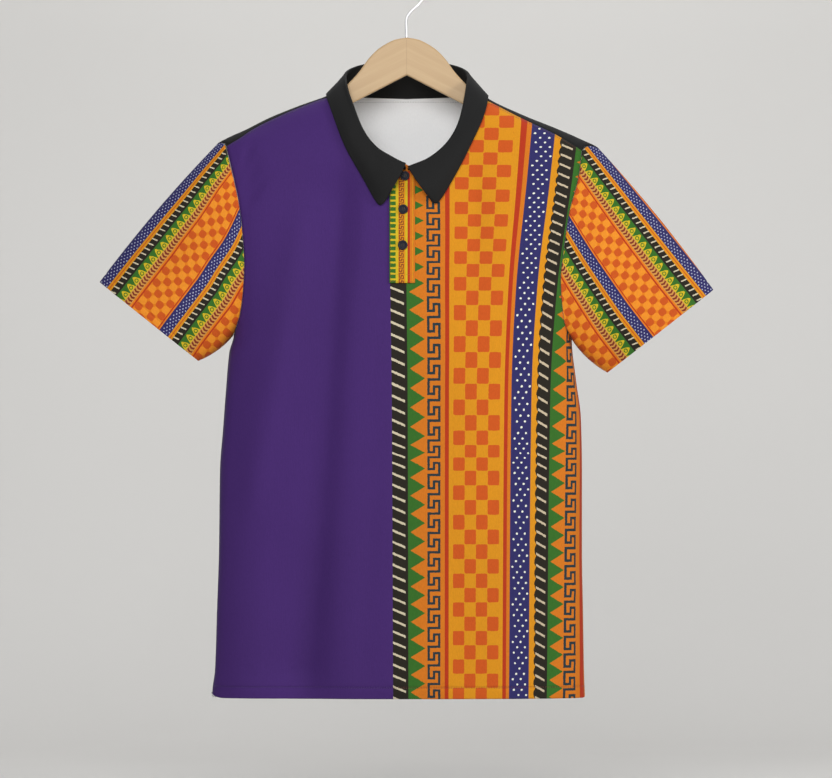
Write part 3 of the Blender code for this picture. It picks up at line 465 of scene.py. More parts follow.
# The first six of the front and the first four of the back are in the solids too; the others are softer
FOLDS = {
    Face.FRONT: measured(
        Fold,
        (-80, -220, -97.2, -507.9, -124, -890, 8.5, 9.5, 21, 75),
        (-119, -270, -156, -490, -193, -680, -4, -3.5, 18, 20),
        (-115, -660, -130, -790, -140, -950, 2, 7.5, 50, 40),
        (-178, -222, -185, -245, -194, -295, 2, 2, 10),
        (86, -240, 83, -330, 80, -440, 3, 2, 20, 16),
        (160, -560, 156, -720, 150, -890, 1, 3, 22),
        (80, -205, 79, -290, 76, -380, 3, 1.5, 14, 30),
        (-74, -220, -91.2, -507.9, -118, -890, 2.6, 1.4, 12, 40),
        (-104, -500, -112, -700, -124, -920, 0.6, 7, 35, 30),
        (-204, -260, -206, -370, -208, -500, -4, -2, 40, 20),
        (-65, -235, -64, -300, -70, -410, 1.2, 0.8, 9),
        (-98, -660, -106, -730, -120, -810, 1, 1.8, 10),
        (-118.6, -835, -140, -848, -161.8, -856, 1.4, 1, 12),
        (-188, -448, -199, -530, -208, -668, 2, 1.2, 14),
        (-146.2, -630, -154, -700, -161.8, -796, 1.2, 1.2, 14),
        (-182.2, -200, -190, -225, -200.2, -256, 1.8, 1, 6),
        (-166.6, -245, -180, -270, -196.6, -298, 1.4, 1, 7),
        (-40, -430, -42, -600, -52, -880, 0.6, 1.8, 16),
        (50, -500, 54, -680, 60, -880, 0.6, 2, 20),
        (115, -650, 112, -760, 108, -880, -0.6, -2, 18),
        (165, -235, 174, -280, 185, -340, 1.4, 1, 9),
        (170, -430, 182, -520, 188, -640, 2, 1.2, 14),
    ),
    Face.BACK: measured(
        Fold,
        (-90, -260, -82, -520, -105, -890, 3, 5, 22),
        (85, -270, 92, -500, 78, -890, 3, 5.5, 24),
        (-10, -340, -6, -560, 4, -890, -1.5, -3, 24),
        (162, -430, 166, -600, 170, -760, 2.5, 2.5, 18),
        (-170, -430, -184, -550, -190, -700, 2.6, 1.4, 15),
        (-50, -230, -56, -340, -70, -460, 1.6, 0.8, 12),
        (48, -220, 56, -350, 62, -490, 1.4, 1, 13),
        (135, -220, 160, -260, 185, -310, 1.6, 1, 10),
        (-140, -225, -165, -270, -188, -320, 1.6, 1, 10),
        (125, -600, 118, -720, 126, -880, 0.6, 2.2, 14),
        (-148, -620, -143, -740, -150, -880, 0.6, 2.2, 15),
        (38, -640, 42, -760, 36, -880, 0.4, 1.8, 12),
    ),
}
COLLAR_FRONT = {
    LEFT: measured(
        Neck,
        (1.6, 0.8, -237.2, -58.5, 25.6, -283.8),
        (9.5, 10, -233.3, -59, 28.8, -287.1),
        (19, 21, -227, -58, 32.2, -288.6),
        (30, 32.6, -220.3, -55.5, 37.4, -283.6),
        (44, 44.5, -208, -52, 50.4, -259.7),
        (56, 53, -194.5, -48, 64, -236.5),
        (67, 60, -178, -43, 74.4, -217.3),
        (77, 65.5, -163.5, -36, 83, -195.5),
        (84, 70.5, -150, -26.5, 89.8, -176),
        (88.5, 73.2, -140, -17, 94.2, -164),
    ),
    RIGHT: measured(
        Neck,
        (1.6, 0.9, -240.9, -58.5, 29, -283.2),
        (9, 10, -237.5, -59, 33.3, -286.4),
        (18, 22, -232.7, -58, 36.8, -285.8),
        (30, 34.5, -224.5, -55.5, 47, -271.3),
        (44, 46.5, -213.3, -52, 57.5, -253),
        (56, 56, -200, -48, 68, -233.5),
        (67, 62.5, -186, -43, 78, -213),
        (77, 67.5, -169, -36, 87.2, -193.5),
        (84, 70.8, -153, -26.5, 93.3, -177),
        (88.5, 72.8, -141, -17, 95.8, -166),
    ),
}
COLLAR_BACK = measured(
    Neck,
    (91.2, 74.2, -131.5, -1, 96.2, -156),
    (87.5, 73.5, -126.5, 13, 92.5, -156.2),
    (76, 67.5, -120.8, 29, 81, -158),
    (56, 53, -115.5, 42, 62, -161),
    (30, 29, -111.7, 50, 33, -163.5),
    (0, 0, -110.3, 52.5, 0, -164.5),
)
CUFFS = {
    LEFT: measured(Mark, (368.6, -378.7), (250.1, -473.3)),
    RIGHT: measured(Mark, (367.8, -387.9), (240.5, -487.4)),
}
BUTTONS = dict(zip(
    ("button_top", "button_middle", "button_low"),
    measured(Mark, (-2.6, -252.9), (-4.3, -292.9), (-4.9, -335.6)),
))
# How much narrower the sleeve's bands are than at the cuff, by design units down the top edge
SLEEVE_NARROWING = {
    LEFT: smooth_through(
        (0, 12, 34, 50, 70, 95, 117, 150, 215), (0.68, 0.72, 0.77, 0.835, 0.90, 0.94, 0.98, 0.995, 1.0)
    ),
    RIGHT: smooth_through((0, 12, 34, 74, 100, 150, 215), (0.80, 0.82, 0.857, 0.92, 0.95, 0.99, 1.0)),
}


class Wire:
    """One socket of a shader tree, whose arithmetic adds Math nodes."""

    def __init__(self, sheet: "Paper", socket: bpy.types.NodeSocket) -> None:
        self.sheet, self.socket = sheet, socket

    def _math(self, operation: str, *values: "Number") -> "Wire":
        """A Math node of one operation on values or wires."""
        return self.sheet.add("ShaderNodeMath", {"operation": operation}, dict(enumerate(values)))[0]


def operator(operation: str, swapped: bool = False) -> Callable[..., Wire]:
    """A method of Wire that adds one Math node, with its own value second if they are swapped."""
    return lambda wire, *others: wire._math(operation, *(others[::-1] + (wire,) if swapped else (wire, *others)))


# A mask is 1 or 0: a product is the overlap of two, and "or" is their union
for method, operation in {
    "add": "ADD", "sub": "SUBTRACT", "mul": "MULTIPLY", "truediv": "DIVIDE", "lt": "LESS_THAN", "gt": "GREATER_THAN",
    "or": "MAXIMUM", "abs": "ABSOLUTE", "pow": "POWER",
}.items():
    setattr(Wire, f"__{method}__", operator(operation))
for method, operation in {"radd": "ADD", "rsub": "SUBTRACT", "rmul": "MULTIPLY"}.items():
    setattr(Wire, f"__{method}__", operator(operation, swapped=True))
for operation in ("FRACT", "FLOOR", "SINE"):
    setattr(Wire, operation.lower(), operator(operation))

Number = Union[Wire, float, int]


class Paper:
    """A material's node tree, to which nodes are added in one call each."""

    def __init__(self, name: str) -> None:
        self.material = bpy.data.materials.new(name)
        self.material.use_nodes = True
        self.tree = self.material.node_tree
        self.shader = self.tree.nodes["Principled BSDF"]

    def set(self, node: bpy.types.Node, key: Union[int, str], value: object) -> None:
        """Links a wire to one of a node's inputs, or sets its value."""
        if isinstance(value, Wire):
            self.tree.links.new(value.socket, node.inputs[key])
        else:
            node.inputs[key].default_value = value

    def add(self, kind: str, settings: dict, sockets: dict) -> list[Wire]:
        """Adds a node.

        Args:
            kind: the node's type.
            settings: its own properties.
            sockets: values or wires by the input's number or name.

        Returns:
            The node's outputs, in order.
        """
        node = self.tree.nodes.new(kind)
        for key, value in settings.items():
            setattr(node, key, value)
        for key, value in sockets.items():
            self.set(node, key, value)
        return [Wire(self, socket) for socket in node.outputs]

    def mix(self, factor: Number, first: object, second: object) -> Wire:
        """A colour between two, by a mask or a share."""
        return self.add("ShaderNodeMix", {"data_type": "RGBA"}, {0: factor, 6: first, 7: second})[2]

    def shaded(self, colour: Wire, factor: Number) -> Wire:
        """A colour times a value."""
        return self.add("ShaderNodeVectorMath", {"operation": "SCALE"}, {0: colour, "Scale": factor})[0]

    def noise(self, scale: float, detail: float, squeeze: float) -> Wire:
        """Soft noise from 0 to 1 on the object's own coordinates, squeezed along its height."""
        place = self.add("ShaderNodeTexCoord", {}, {})[3]
        place = self.add("ShaderNodeMapping", {}, {0: place, "Scale": (1.0, 1.0, squeeze)})[0]
        return self.add("ShaderNodeTexNoise", {}, {"Vector": place, "Scale": scale, "Detail": detail})[0]

    def print_place(self) -> tuple[Wire, Wire]:
        """The piece's place in the print, across the bands and along them."""
        place = self.add("ShaderNodeUVMap", {"uv_map": "print"}, {})[0]
        parts = self.add("ShaderNodeSeparateXYZ", {}, {0: place})
        return parts[0], parts[1]

    def finish(self, colour: object, roughness: Number, **constants: float) -> None:
        """Sets the shader's colour and roughness, and constants on inputs named with underscores."""
        self.set(self.shader, "Base Color", colour)
        self.set(self.shader, "Roughness", roughness)
        for name, value in constants.items():
            self.shader.inputs[name.replace("_", " ")].default_value = value

    def raised(self, height: Wire, distance: float) -> None:
        """Lets a height drive the shader's normal."""
        bump = self.add("ShaderNodeBump", {}, {"Height": height, "Distance": distance, "Strength": 1.0})[0]
        self.set(self.shader, "Normal", bump)


BODY_PRINT = (
    Band(0.0, 15.2, Ink.BLACK_BAND, Motif.DASHES, Ink.CREAM, 10.9, 0.58, 0.42),
    Band(15.2, 32.3, Ink.ORANGE, Motif.TRIANGLES, Ink.GREEN, 17.4, 0.0),
    Band(32.3, 51.2, Ink.ORANGE, Motif.MEANDER, Ink.TEAL, 18.45, 0.863),
    Band(51.2, 55.0, Ink.RED),
    Band(55.0, 59.2, Ink.GOLD),
    Band(59.2, 104.3, Ink.GOLD, Motif.CHECKS, Ink.RED_ORANGE, 14.06, -0.17),
    Band(104.3, 108.4, Ink.GOLD),
    Band(108.4, 111.9, Ink.RED),
    Band(111.9, 115.1, Ink.ORANGE),
    Band(115.1, 134.6, Ink.BLUE, Motif.DOTS, Ink.DOT, 5.27, 0.117),
    Band(134.6, 141.0, Ink.GOLD, Motif.SCALLOPS, Ink.BLACK_BAND, 10.84, 0.26),
    Band(141.0, 152.9, Ink.BLACK_BAND, Motif.DASHES, Ink.PINKISH, 10.84, 0.28),
    Band(152.9, 168.9, Ink.ORANGE, Motif.TRIANGLES, Ink.GREEN, 16.66, 0.24),
    Band(167.0, 187.3, Ink.ORANGE, Motif.MEANDER, Ink.TEAL, 17.36, 0.62),
    Band(189.6, 199.0, Ink.RED),
    Band(199.0, 246.0, Ink.ORANGE),
)
SLEEVE_PRINT = (
    Band(0.0, 10.0, Ink.BLUE, Motif.DOTS, Ink.PALE_BLUE, 2.7, 0.0),
    Band(10.0, 11.8, Ink.GOLD),
    Band(11.8, 12.8, Ink.RED_ORANGE),
    Band(12.8, 14.8, Ink.GOLD),
    Band(14.8, 22.6, Ink.BLACK_BAND, Motif.DASHES, Ink.CREAM, 6.1, 0.2, 0.28),
    Band(22.6, 32.0, Ink.GREEN, Motif.ARCHES, Ink.YELLOW, 8.9, 0.0),
    Band(32.0, 39.2, Ink.TAN, Motif.TEETH, Ink.MAROON, 3.7, 0.1),
    Band(39.2, 41.0, Ink.TANGERINE),
    Band(41.0, 42.6, Ink.RED),
    Band(42.6, 74.8, Ink.TANGERINE, Motif.CHECKS, Ink.RED_ORANGE, 7.4, 0.0),
    Band(74.8, 76.0, Ink.RED),
    Band(76.0, 77.4, Ink.TANGERINE),
    Band(77.4, 78.4, Ink.BLUE),
)
PLACKET_PRINT = (
    Band(0.0, 8.8, Ink.YELLOW, Motif.BLOCKS, Ink.GREEN, 5.6, 0.0),
    Band(8.8, 15.9, Ink.GOLD, Motif.MEANDER, Ink.MAROON, 5.4, 0.0),
    Band(15.9, 18.1, Ink.YELLOW),
    Band(18.1, 20.4, Ink.RED),
    Band(20.4, 40.0, Ink.ORANGE, Motif.LINE, Ink.GOLD, 5.8, 0.0),
)


@dataclass(frozen=True)
class BandedPrint:
    """The kente print: lengthwise bands, each with its own ground and motif."""

    bands: tuple[Band, ...]
    repeats: bool = False
    dash_thick: float = 0.21
    dash_margin: float = 0.24
    dot_radius: float = 0.195
    dot_spread: float = 1.461
    dot_shift: float = 0.4223
    dot_start: float = 0.975
    dot_margins: tuple[float, float] = (2.6 / 5.27, 1.8 / 5.27)  # of the pitch
    meander_line: float = 0.124
    meander_places: tuple[float, float, float] = (0.16, 0.44, 0.71)
    meander_levels: tuple[float, float] = (0.69, 0.345)
    check_columns: int = 4
    check_corner: float = 10.0
    check_pale: Optional[Ink] = None
    zigzag: tuple[float, float] = (0.14, 0.98)
    scallop: float = 1.7
    ragged: Noise = (420.0, 2.0, 1.0)
    raggedness: float = 0.9
    arch: tuple[float, float, float] = (0.84, 0.46, 1.7)  # height, half width and the power of its curve
    ring: tuple[float, float, float] = (0.36, 1.5, 4.4)  # place up the arch, inner and outer radius squared
    tooth: tuple[float, float, float] = (0.45, 0.27, 0.7)  # bend, half thickness and margin
    block: tuple[float, float, float] = (0.33, 0.72, 0.10)  # half height, width and the width of its line
    line_half: float = 0.10

    def inked(self, paper: Paper, under: Optional[Wire] = None) -> Wire:
        """Draws the print.

        Args:
            paper: the material's node tree.
            under: the plain colour where the place across the bands is below 0.

        Returns:
            The colour at each place of the piece.
        """
        across, along = paper.print_place()
        end = self.bands[-1].end
        u = ((across / end).fract() * end) if self.repeats else across
        colour = self.bands[0].ground.linear
        for band in self.bands[1:]:
            colour = paper.mix(u > band.start, colour, band.ground.linear)
        ragged = (paper.noise(*self.ragged) - 0.5) * self.raggedness
        for band in self.bands:
            if band.motif is None:
                continue
            motif, inside = getattr(self, band.motif.name.lower()), (u > band.start) * (u < band.end)
            if band.motif is Motif.CHECKS and self.check_pale:
                mask = motif(u + ragged, along + ragged + band.pitch, band)
                colour = paper.mix(mask * inside, colour, self.check_pale.linear)
            colour = paper.mix(motif(u + ragged, along + ragged, band) * inside, colour, band.ink.linear)
        return colour if under is None or self.repeats else paper.mix(across < 0, colour, under)

    def dashes(self, u: Wire, v: Wire, band: Band) -> Wire:
        """Slanted dashes that leave a margin on the right."""
        turn = ((v + u * band.slope) / band.pitch + band.phase).fract() - 0.5
        return (abs(turn) < self.dash_thick / 2) * (u < band.end - self.dash_margin * band.pitch)

    def triangles(self, u: Wire, v: Wire, band: Band) -> Wire:
        """Triangles that point right, against those of the ground that point left."""
        wave = abs((v / band.pitch + band.phase).fract() * 2 - 1)
        wide, (low, high) = band.end - band.start, self.zigzag
        return u < (band.start + wide * low) + wave * (wide * (high - low))

    def rectangle(self, u: Wire, v: Wire, box: tuple[float, float, float, float]) -> Wire:
        """A filled box: left, right, low, high."""
        left, right, low, high = box
        return (abs(u - (left + right) / 2) < (right - left) / 2) * (abs(v - (low + high) / 2) < (high - low) / 2)

    def meander(self, u: Wire, v: Wire, band: Band) -> Wire:
        """A one-line key meander."""
        wide = band.end - band.start
        left, middle, right = (band.start + wide * place for place in self.meander_places)
        q = (band.phase - v / band.pitch).fract()
        half, level = self.meander_line * wide / 2, self.meander_line * wide / 2 / band.pitch
        high, low = self.meander_levels
        boxes = [
            (left - half, left + half, 0.0, high + level),
            (left - half, middle + half, high - level, high + level),
            (middle - half, middle + half, low - level, high + level),
            (middle - half, right + half, low - level, low + level),
            (right - half, right + half, low - level, 1.0),
            (left - half, right + half, 1.0 - level, 1.0 + level),
            (left - half, right + half, -level, level),
        ]
        mask = self.rectangle(u, q, boxes[0])
        for box in boxes[1:]:
            mask = mask | self.rectangle(u, q, box)
        return mask

    def checks(self, u: Wire, v: Wire, band: Band) -> Wire:
        """Checks with rounded corners, every other one of each row and column."""
        column = (u - band.start) / ((band.end - band.start) / self.check_columns)
        row = v / band.pitch + band.phase
        odd = abs(((column.floor() + row.floor()) / 2).fract()) > 0.25
        inside = abs(column.fract() * 2 - 1) ** self.check_corner + abs(row.fract() * 2 - 1) ** self.check_corner
        return odd * (inside < 1.0)

    def dots(self, u: Wire, v: Wire, band: Band) -> Wire:
        """Rows of dots, each row shifted by less than half a step from the one below it."""
        step = band.pitch * self.dot_spread
        row = v / band.pitch + band.phase
        a = (((u - band.start) / step - row.floor() * self.dot_shift + self.dot_start).fract() - 0.5) * step
        b = (row.fract() - 0.5) * band.pitch
        left, right = (margin * band.pitch for margin in self.dot_margins)
        whole = ((u - a) > band.start + left) * ((u - a) < band.end - right)
        return ((a * a + b * b) < (self.dot_radius * band.pitch) ** 2) * whole

    def arches(self, u: Wire, v: Wire, band: Band) -> Wire:
        """Arches that stand on the band's right edge, with a ring in each."""
        (tall, wide, power), (place, inner, outer) = self.arch, self.ring
        high, half = (band.end - band.start) * tall, band.pitch * wide
        b = abs((v / band.pitch + band.phase).fract() - 0.5) * band.pitch
        rise = band.end - u
        arch = (rise / high + (b / half) ** power) < 1.0
        spot = (rise - high * place) ** 2 + b * b
        return arch * ((spot > outer) | (spot < inner))

    def teeth(self, u: Wire, v: Wire, band: Band) -> Wire:
        """Bent bars, one after another."""
        slope, half, margin = self.tooth
        bend = abs(u - (band.start + band.end) / 2) * slope
        bar = abs(((v + bend) / band.pitch + band.phase).fract() - 0.5) < half
        return bar * (u > band.start + margin) * (u < band.end - margin)

    def scallops(self, u: Wire, v: Wire, band: Band) -> Wire:
        """A waved right edge."""
        wave = abs(((v / band.pitch + band.phase) * math.pi).sine())
        return u > wave * -self.scallop + band.end

    def blocks(self, u: Wire, v: Wire, band: Band) -> Wire:
        """Blocks joined by a thin line on the left."""
        wide, (half, reach, line) = band.end - band.start, self.block
        level = abs((v / band.pitch + band.phase).fract() - 0.5)
        return (level < half) * (u < band.start + wide * reach) | (u < band.start + wide * line)

    def line(self, u: Wire, v: Wire, band: Band) -> Wire:
        """Thin lengthwise lines."""
        return abs(((u - band.start) / band.pitch + band.phase).fract() - 0.5) < self.line_half


@dataclass(frozen=True)
class Knit:
    """A smooth knit cloth, plain or printed."""

    name: str
    ink: Ink = Ink.BLACK
    printed: Optional[BandedPrint] = None
    bump: float = 0.00022
    roughness: float = 0.78
    sheen: float = 0.03
    mottle: float = 0.14
    fine_mottle: float = 1.6  # of the grain, against that of the clouds
    worn: float = 0.12
    clouds: Noise = (9.0, 3.0, 0.6)
    grain: Noise = (900.0, 1.0, 0.35)
    ribs: Noise = (620.0, 2.0, 0.10)
    loops: Noise = (1500.0, 1.0, 0.7)
    wrinkles: Noise = (28.0, 3.0, 0.45)
    relief: tuple[float, float, float] = (0.55, 0.35, 2.2)  # of ribs, loops and wrinkles

    def made(self) -> bpy.types.Material:
        """The material: colour, soft wear, fine lengthwise ribs and small loops."""
        paper = Paper(self.name)
        plain = paper.mix(0.0, self.ink.linear, self.ink.linear)
        colour = self.printed.inked(paper, plain) if self.printed else plain
        cloudy, grain = paper.noise(*self.clouds), paper.noise(*self.grain)
        shade = 1.0 + (cloudy - 0.5) * self.mottle + (grain - 0.5) * (self.mottle * self.fine_mottle)
        paper.finish(
            paper.shaded(colour, shade), self.roughness + (cloudy - 0.5) * self.worn,
            Sheen_Weight=self.sheen, Sheen_Roughness=0.4, Specular_IOR_Level=0.14,
        )
        ribs, loops, wrinkles = (paper.noise(*noise) for noise in (self.ribs, self.loops, self.wrinkles))
        rib, loop, wrinkle = self.relief
        paper.raised(ribs * rib + loops * loop + wrinkles * wrinkle, self.bump)
        return paper.material


@dataclass(frozen=True)
class Thread:
    """Sewing thread, finely twisted, with painted shade between its strands."""

    name: str
    ink: Ink
    twist: Noise = (2600.0, 1.0, 1.0)
    # hollow is painted shade: the near-black colour that stands for the shade between the strands
    hollow: Colour = (0.02, 0.02, 0.02, 1.0)  # between its strands
    strand_shade: float = 0.35
    roughness: float = 0.62
    worn: float = 0.2

    def made(self) -> bpy.types.Material:
        """The material."""
        paper = Paper(self.name)
        twist = paper.noise(*self.twist)
        # Painted shade: the twist mixes the near-black colour in where the strands would shade each other
        colour = paper.mix(twist * self.strand_shade, self.ink.linear, self.hollow)
        paper.finish(colour, self.roughness + twist * self.worn, Sheen_Weight=0.2)
        return paper.material


@dataclass(frozen=True)
class PaleWood:
    """Pale hardwood with long grain, lightly varnished, its two halves joined in the middle."""

    name: str = "pale_wood"
    light: Colour = (0.615, 0.435, 0.232, 1.0)
    dark: Colour = (0.445, 0.272, 0.122, 1.0)
    glue: Colour = (0.20, 0.11, 0.05, 1.0)
    long_grain: tuple[float, float, float] = (6.0, 60.0, 190.0)  # its scale along, through and across the arms
    fine_grain: tuple[float, float, float] = (30.0, 500.0, 1500.0)
    joint_x: float = -0.0004
    joint_width: float = 0.00045
    joint_tint: float = 0.18
    arm_slope: float = 0.50
    tints: tuple[float, float] = (0.65, 0.30)  # of the long and the fine grain
    relief: tuple[float, float, float] = (0.3, 0.5, 0.6)  # of both grains, and into the joint
    bump: float = 0.00012
    roughness: float = 0.38
    worn: float = 0.18

    def made(self) -> bpy.types.Material:
        """The material."""
        paper = Paper(self.name)
        place = paper.add("ShaderNodeTexCoord", {}, {})[3]
        parts = paper.add("ShaderNodeSeparateXYZ", {}, {0: place})
        run = abs(parts[0])
        across = parts[2] + run * self.arm_slope
        grains = []
        for scales, detail in ((self.long_grain, 4.0), (self.fine_grain, 2.0)):
            spread = {i: wire * scale for i, (wire, scale) in enumerate(zip((run, parts[1], across), scales))}
            line = paper.add("ShaderNodeCombineXYZ", {}, spread)[0]
            grains.append(paper.add("ShaderNodeTexNoise", {}, {"Vector": line, "Scale": 1.0, "Detail": detail})[0])
        (grain, fine), (long_tint, fine_tint), (rise, fine_rise, groove) = grains, self.tints, self.relief
        tone = paper.mix(grain * long_tint + fine * fine_tint, self.light, self.dark)
        joint = abs(parts[0] - self.joint_x) < self.joint_width
        tone = paper.mix(joint * self.joint_tint, tone, self.glue)
        paper.finish(tone, self.roughness + fine * self.worn, Coat_Weight=0.15, Coat_Roughness=0.25)
        paper.raised(grain * rise + fine * fine_rise - joint * groove, self.bump)
        return paper.material


@dataclass(frozen=True)
class BrightWire:
    """Chromed steel wire."""

    name: str = "bright_wire"
    steel: Colour = (0.84, 0.84, 0.85, 1.0)
    haze: Noise = (240.0, 2.0, 1.0)
    roughness: float = 0.24
    worn: float = 0.14

    def made(self) -> bpy.types.Material:
        """The material."""
        paper = Paper(self.name)
        paper.finish(self.steel, self.roughness + paper.noise(*self.haze) * self.worn, Metallic=1.0)
        return paper.material


@dataclass(frozen=True)
class ButtonResin:
    """Nearly black satin resin with a faint swirl."""

    name: str = "button_resin"
    swirl: Noise = (260.0, 3.0, 2.5)
    dark: Colour = (0.004, 0.004, 0.008, 1.0)
    light: Colour = (0.010, 0.010, 0.024, 1.0)
    roughness: float = 0.46
    worn: float = 0.12

    def made(self) -> bpy.types.Material:
        """The material."""
        paper = Paper(self.name)
        swirl = paper.noise(*self.swirl)
        colour = paper.mix(swirl, self.dark, self.light)
        paper.finish(colour, self.roughness + swirl * self.worn, Specular_IOR_Level=0.25)
        return paper.material


@dataclass(frozen=True)
class PaleFloor:
    """The studio's pale matt floor and backdrop, clear from the side away from the shirt."""

    name: str = "pale_floor"
    clouds: Noise = (1.5, 2.0, 1.0)
    dark: Colour = (0.60, 0.59, 0.57, 1.0)
    light: Colour = (0.64, 0.63, 0.61, 1.0)
    roughness: float = 0.85

    def made(self) -> bpy.types.Material:
        """The material."""
        paper = Paper(self.name)
        paper.finish(paper.mix(paper.noise(*self.clouds), self.dark, self.light), self.roughness)
        behind = paper.add("ShaderNodeNewGeometry", {}, {})[6]
        clear = paper.add("ShaderNodeBsdfTransparent", {}, {})[0]
        matt = Wire(paper, paper.shader.outputs[0])
        both = paper.add("ShaderNodeMixShader", {}, {0: behind, 1: matt, 2: clear})[0]
        paper.set(paper.tree.nodes["Material Output"], "Surface", both)
        return paper.material


FORM = BodyForm()


def linked(name: str, data: bpy.types.ID) -> bpy.types.Object:
    """A new object in the scene."""
    made = bpy.data.objects.new(name, data)
    bpy.context.scene.collection.objects.link(made)
    return made


def drawn(name: str, points: Sequence, edges: Sequence = (), faces: Sequence = ()) -> bpy.types.Mesh:
    """A mesh of points, edges and faces."""
    mesh = bpy.data.meshes.new(name)
    mesh.from_pydata(points, edges, faces)
    return mesh


def applied(carrier: bpy.types.Object, *helpers: bpy.types.Object) -> bpy.types.Mesh:
    """The plain mesh of a carrier with its modifiers worked out. It and its helpers then go."""
    graph = bpy.context.evaluated_depsgraph_get()
    mesh = bpy.data.meshes.new_from_object(carrier.evaluated_get(graph))
    for spent in (carrier, *helpers):
        bpy.data.objects.remove(spent)
    return mesh


def finished(mesh: bpy.types.Mesh, name: str, node: Sequence[str]) -> bpy.types.Object:
    """A piece made of a mesh, which rides on the shirt's body and stands for its solids.

    Args:
        mesh: the piece's mesh, in place.
        name: the piece's name.
        node: the solids that it stands for, if any.

    Returns:
        The piece's object.
    """
    piece = linked(name, mesh)
    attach(piece, "root")
    if node:
        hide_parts(*node)
    return piece


def woven(name: str, grids: Sequence[Grid], facing: Callable[[Vector], Vector]) -> bpy.types.Mesh:
    """One open sheet of quads from grids that share their edges.

    Args:
        name: the mesh's name.
        grids: the sheet's parts.
        facing: turns a point into the direction that the outer face looks in there.

    Returns:
        The mesh, with the print's places as its UV map.
    """
    points, places, faces, base = [], [], [], 0
    for grid in grids:
        rows, columns = grid.points.shape[:2]
        index = base + np.arange(rows * columns).reshape(rows, columns)
        corners = [index[:-1, :-1], index[:-1, 1:], index[1:, 1:], index[1:, :-1]]
        faces.append(np.stack(corners, axis=-1).reshape(-1, 4))
        points.append(grid.points.reshape(-1, 3))
        places.append(grid.places.reshape(-1, 2))
        base += rows * columns
    points, places, faces = np.concatenate(points), np.concatenate(places), np.concatenate(faces)
    data = drawn(name, points.tolist(), faces=faces.tolist())
    layer = data.uv_layers.new(name="print")
    layer.data.foreach_set("uv", places[faces.reshape(-1)].reshape(-1))
    mesh = bmesh.new()
    mesh.from_mesh(data)
    bmesh.ops.remove_doubles(mesh, verts=mesh.verts, dist=0.00002)
    bmesh.ops.recalc_face_normals(mesh, faces=mesh.faces)
    if sum(face.normal.dot(facing(face.calc_center_median())) for face in mesh.faces) < 0:
        bmesh.ops.reverse_faces(mesh, faces=mesh.faces)
    mesh.to_mesh(data)
    mesh.free()
    data.shade_smooth()
    return data


class Cloth:
    """A cloth piece, whose sheet is given a thickness and a finish on each face."""

    wall: float

    def dress(self, piece: bpy.types.Object, outside: bpy.types.Material, inside: bpy.types.Material) -> None:
        """Gives the sheet its thickness inwards, and its finishes."""
        piece.data.materials.append(outside)
        piece.data.materials.append(inside)
        solid = piece.modifiers.new("Cloth wall", "SOLIDIFY")
        solid.thickness = self.wall
        solid.offset = -1
        solid.material_offset = 1


class Hard:
    """A hard piece, with one finish all over."""

    def dress(self, piece: bpy.types.Object, finish: bpy.types.Material) -> None:
        """Gives the piece its finish."""
        piece.data.materials.clear()
        piece.data.materials.append(finish)


@dataclass(frozen=True)
class PrintLayout:
    """Where the print lies on the front: its edge, how it is stretched across, and its scale along."""

    edge: Curve = of_points((-0.8775, -0.0162), (-0.5199, -0.01776), (-0.3879, -0.01956), (-0.2415, -0.02076))
    stretch: Curve = of_points(
        (-0.8775, 1.0), (-0.5199, 1.031), (-0.3879, 1.083), (-0.2559, 1.179), (-0.1875, 1.224)
    )
    along: Curve = of_points(
        (-0.8775, 1.0), (-0.75, 1.015), (-0.68, 1.045), (-0.61, 1.035), (-0.585, 0.86), (-0.555, 1.09),
        (-0.44, 1.125), (-0.40, 1.03), (-0.37, 0.93), (-0.33, 0.875), (-0.15, 0.885),
    )
    # How far the print is pulled towards the placket, by height, and which share of that at each band
    pull: Curve = of_points((-0.47, 0), (-0.436, 0.3), (-0.34, 2), (-0.262, 4.2), (-0.19, 5.5))
    pulled: Curve = of_points(
        (0, 0), (48, 1.0), (57, 0.92), (103, 0.45), (109, 0.08), (117, -0.25), (137, -0.25), (155, -0.35),
        (230, -0.35),
    )
    flat_share: float = 0.93
    low: float = -0.9
    high: float = -0.12
    steps: int = 400

    def places(self, points: np.ndarray) -> np.ndarray:
        """Places in the print of a grid whose rows run from a side seam inwards."""
        x, y, z = points[..., 0], points[..., 1], points[..., 2]
        heights = np.linspace(self.low, self.high, self.steps)
        steps = np.diff(heights) / (self.along((heights[1:] + heights[:-1]) / 2) * UNIT)
        v = np.interp(z, heights, np.concatenate([[0.0], np.cumsum(steps)]))
        reach = np.abs(x) / FORM.half_width(x, z)
        extra = np.hypot(np.diff(x, axis=1), np.diff(y, axis=1)) - np.abs(np.diff(x, axis=1))
        extra = np.where(reach[:, :-1] > self.flat_share, extra, 0.0)
        extra = np.concatenate([np.cumsum(extra[:, ::-1], axis=1)[:, ::-1], np.zeros((len(x), 1))], axis=1)
        u = (x + np.sign(x) * extra - self.edge(z)) / (self.stretch(z) * UNIT)
        u = u + self.pull(z) * self.pulled(u)
        return np.stack([u, v], axis=-1)


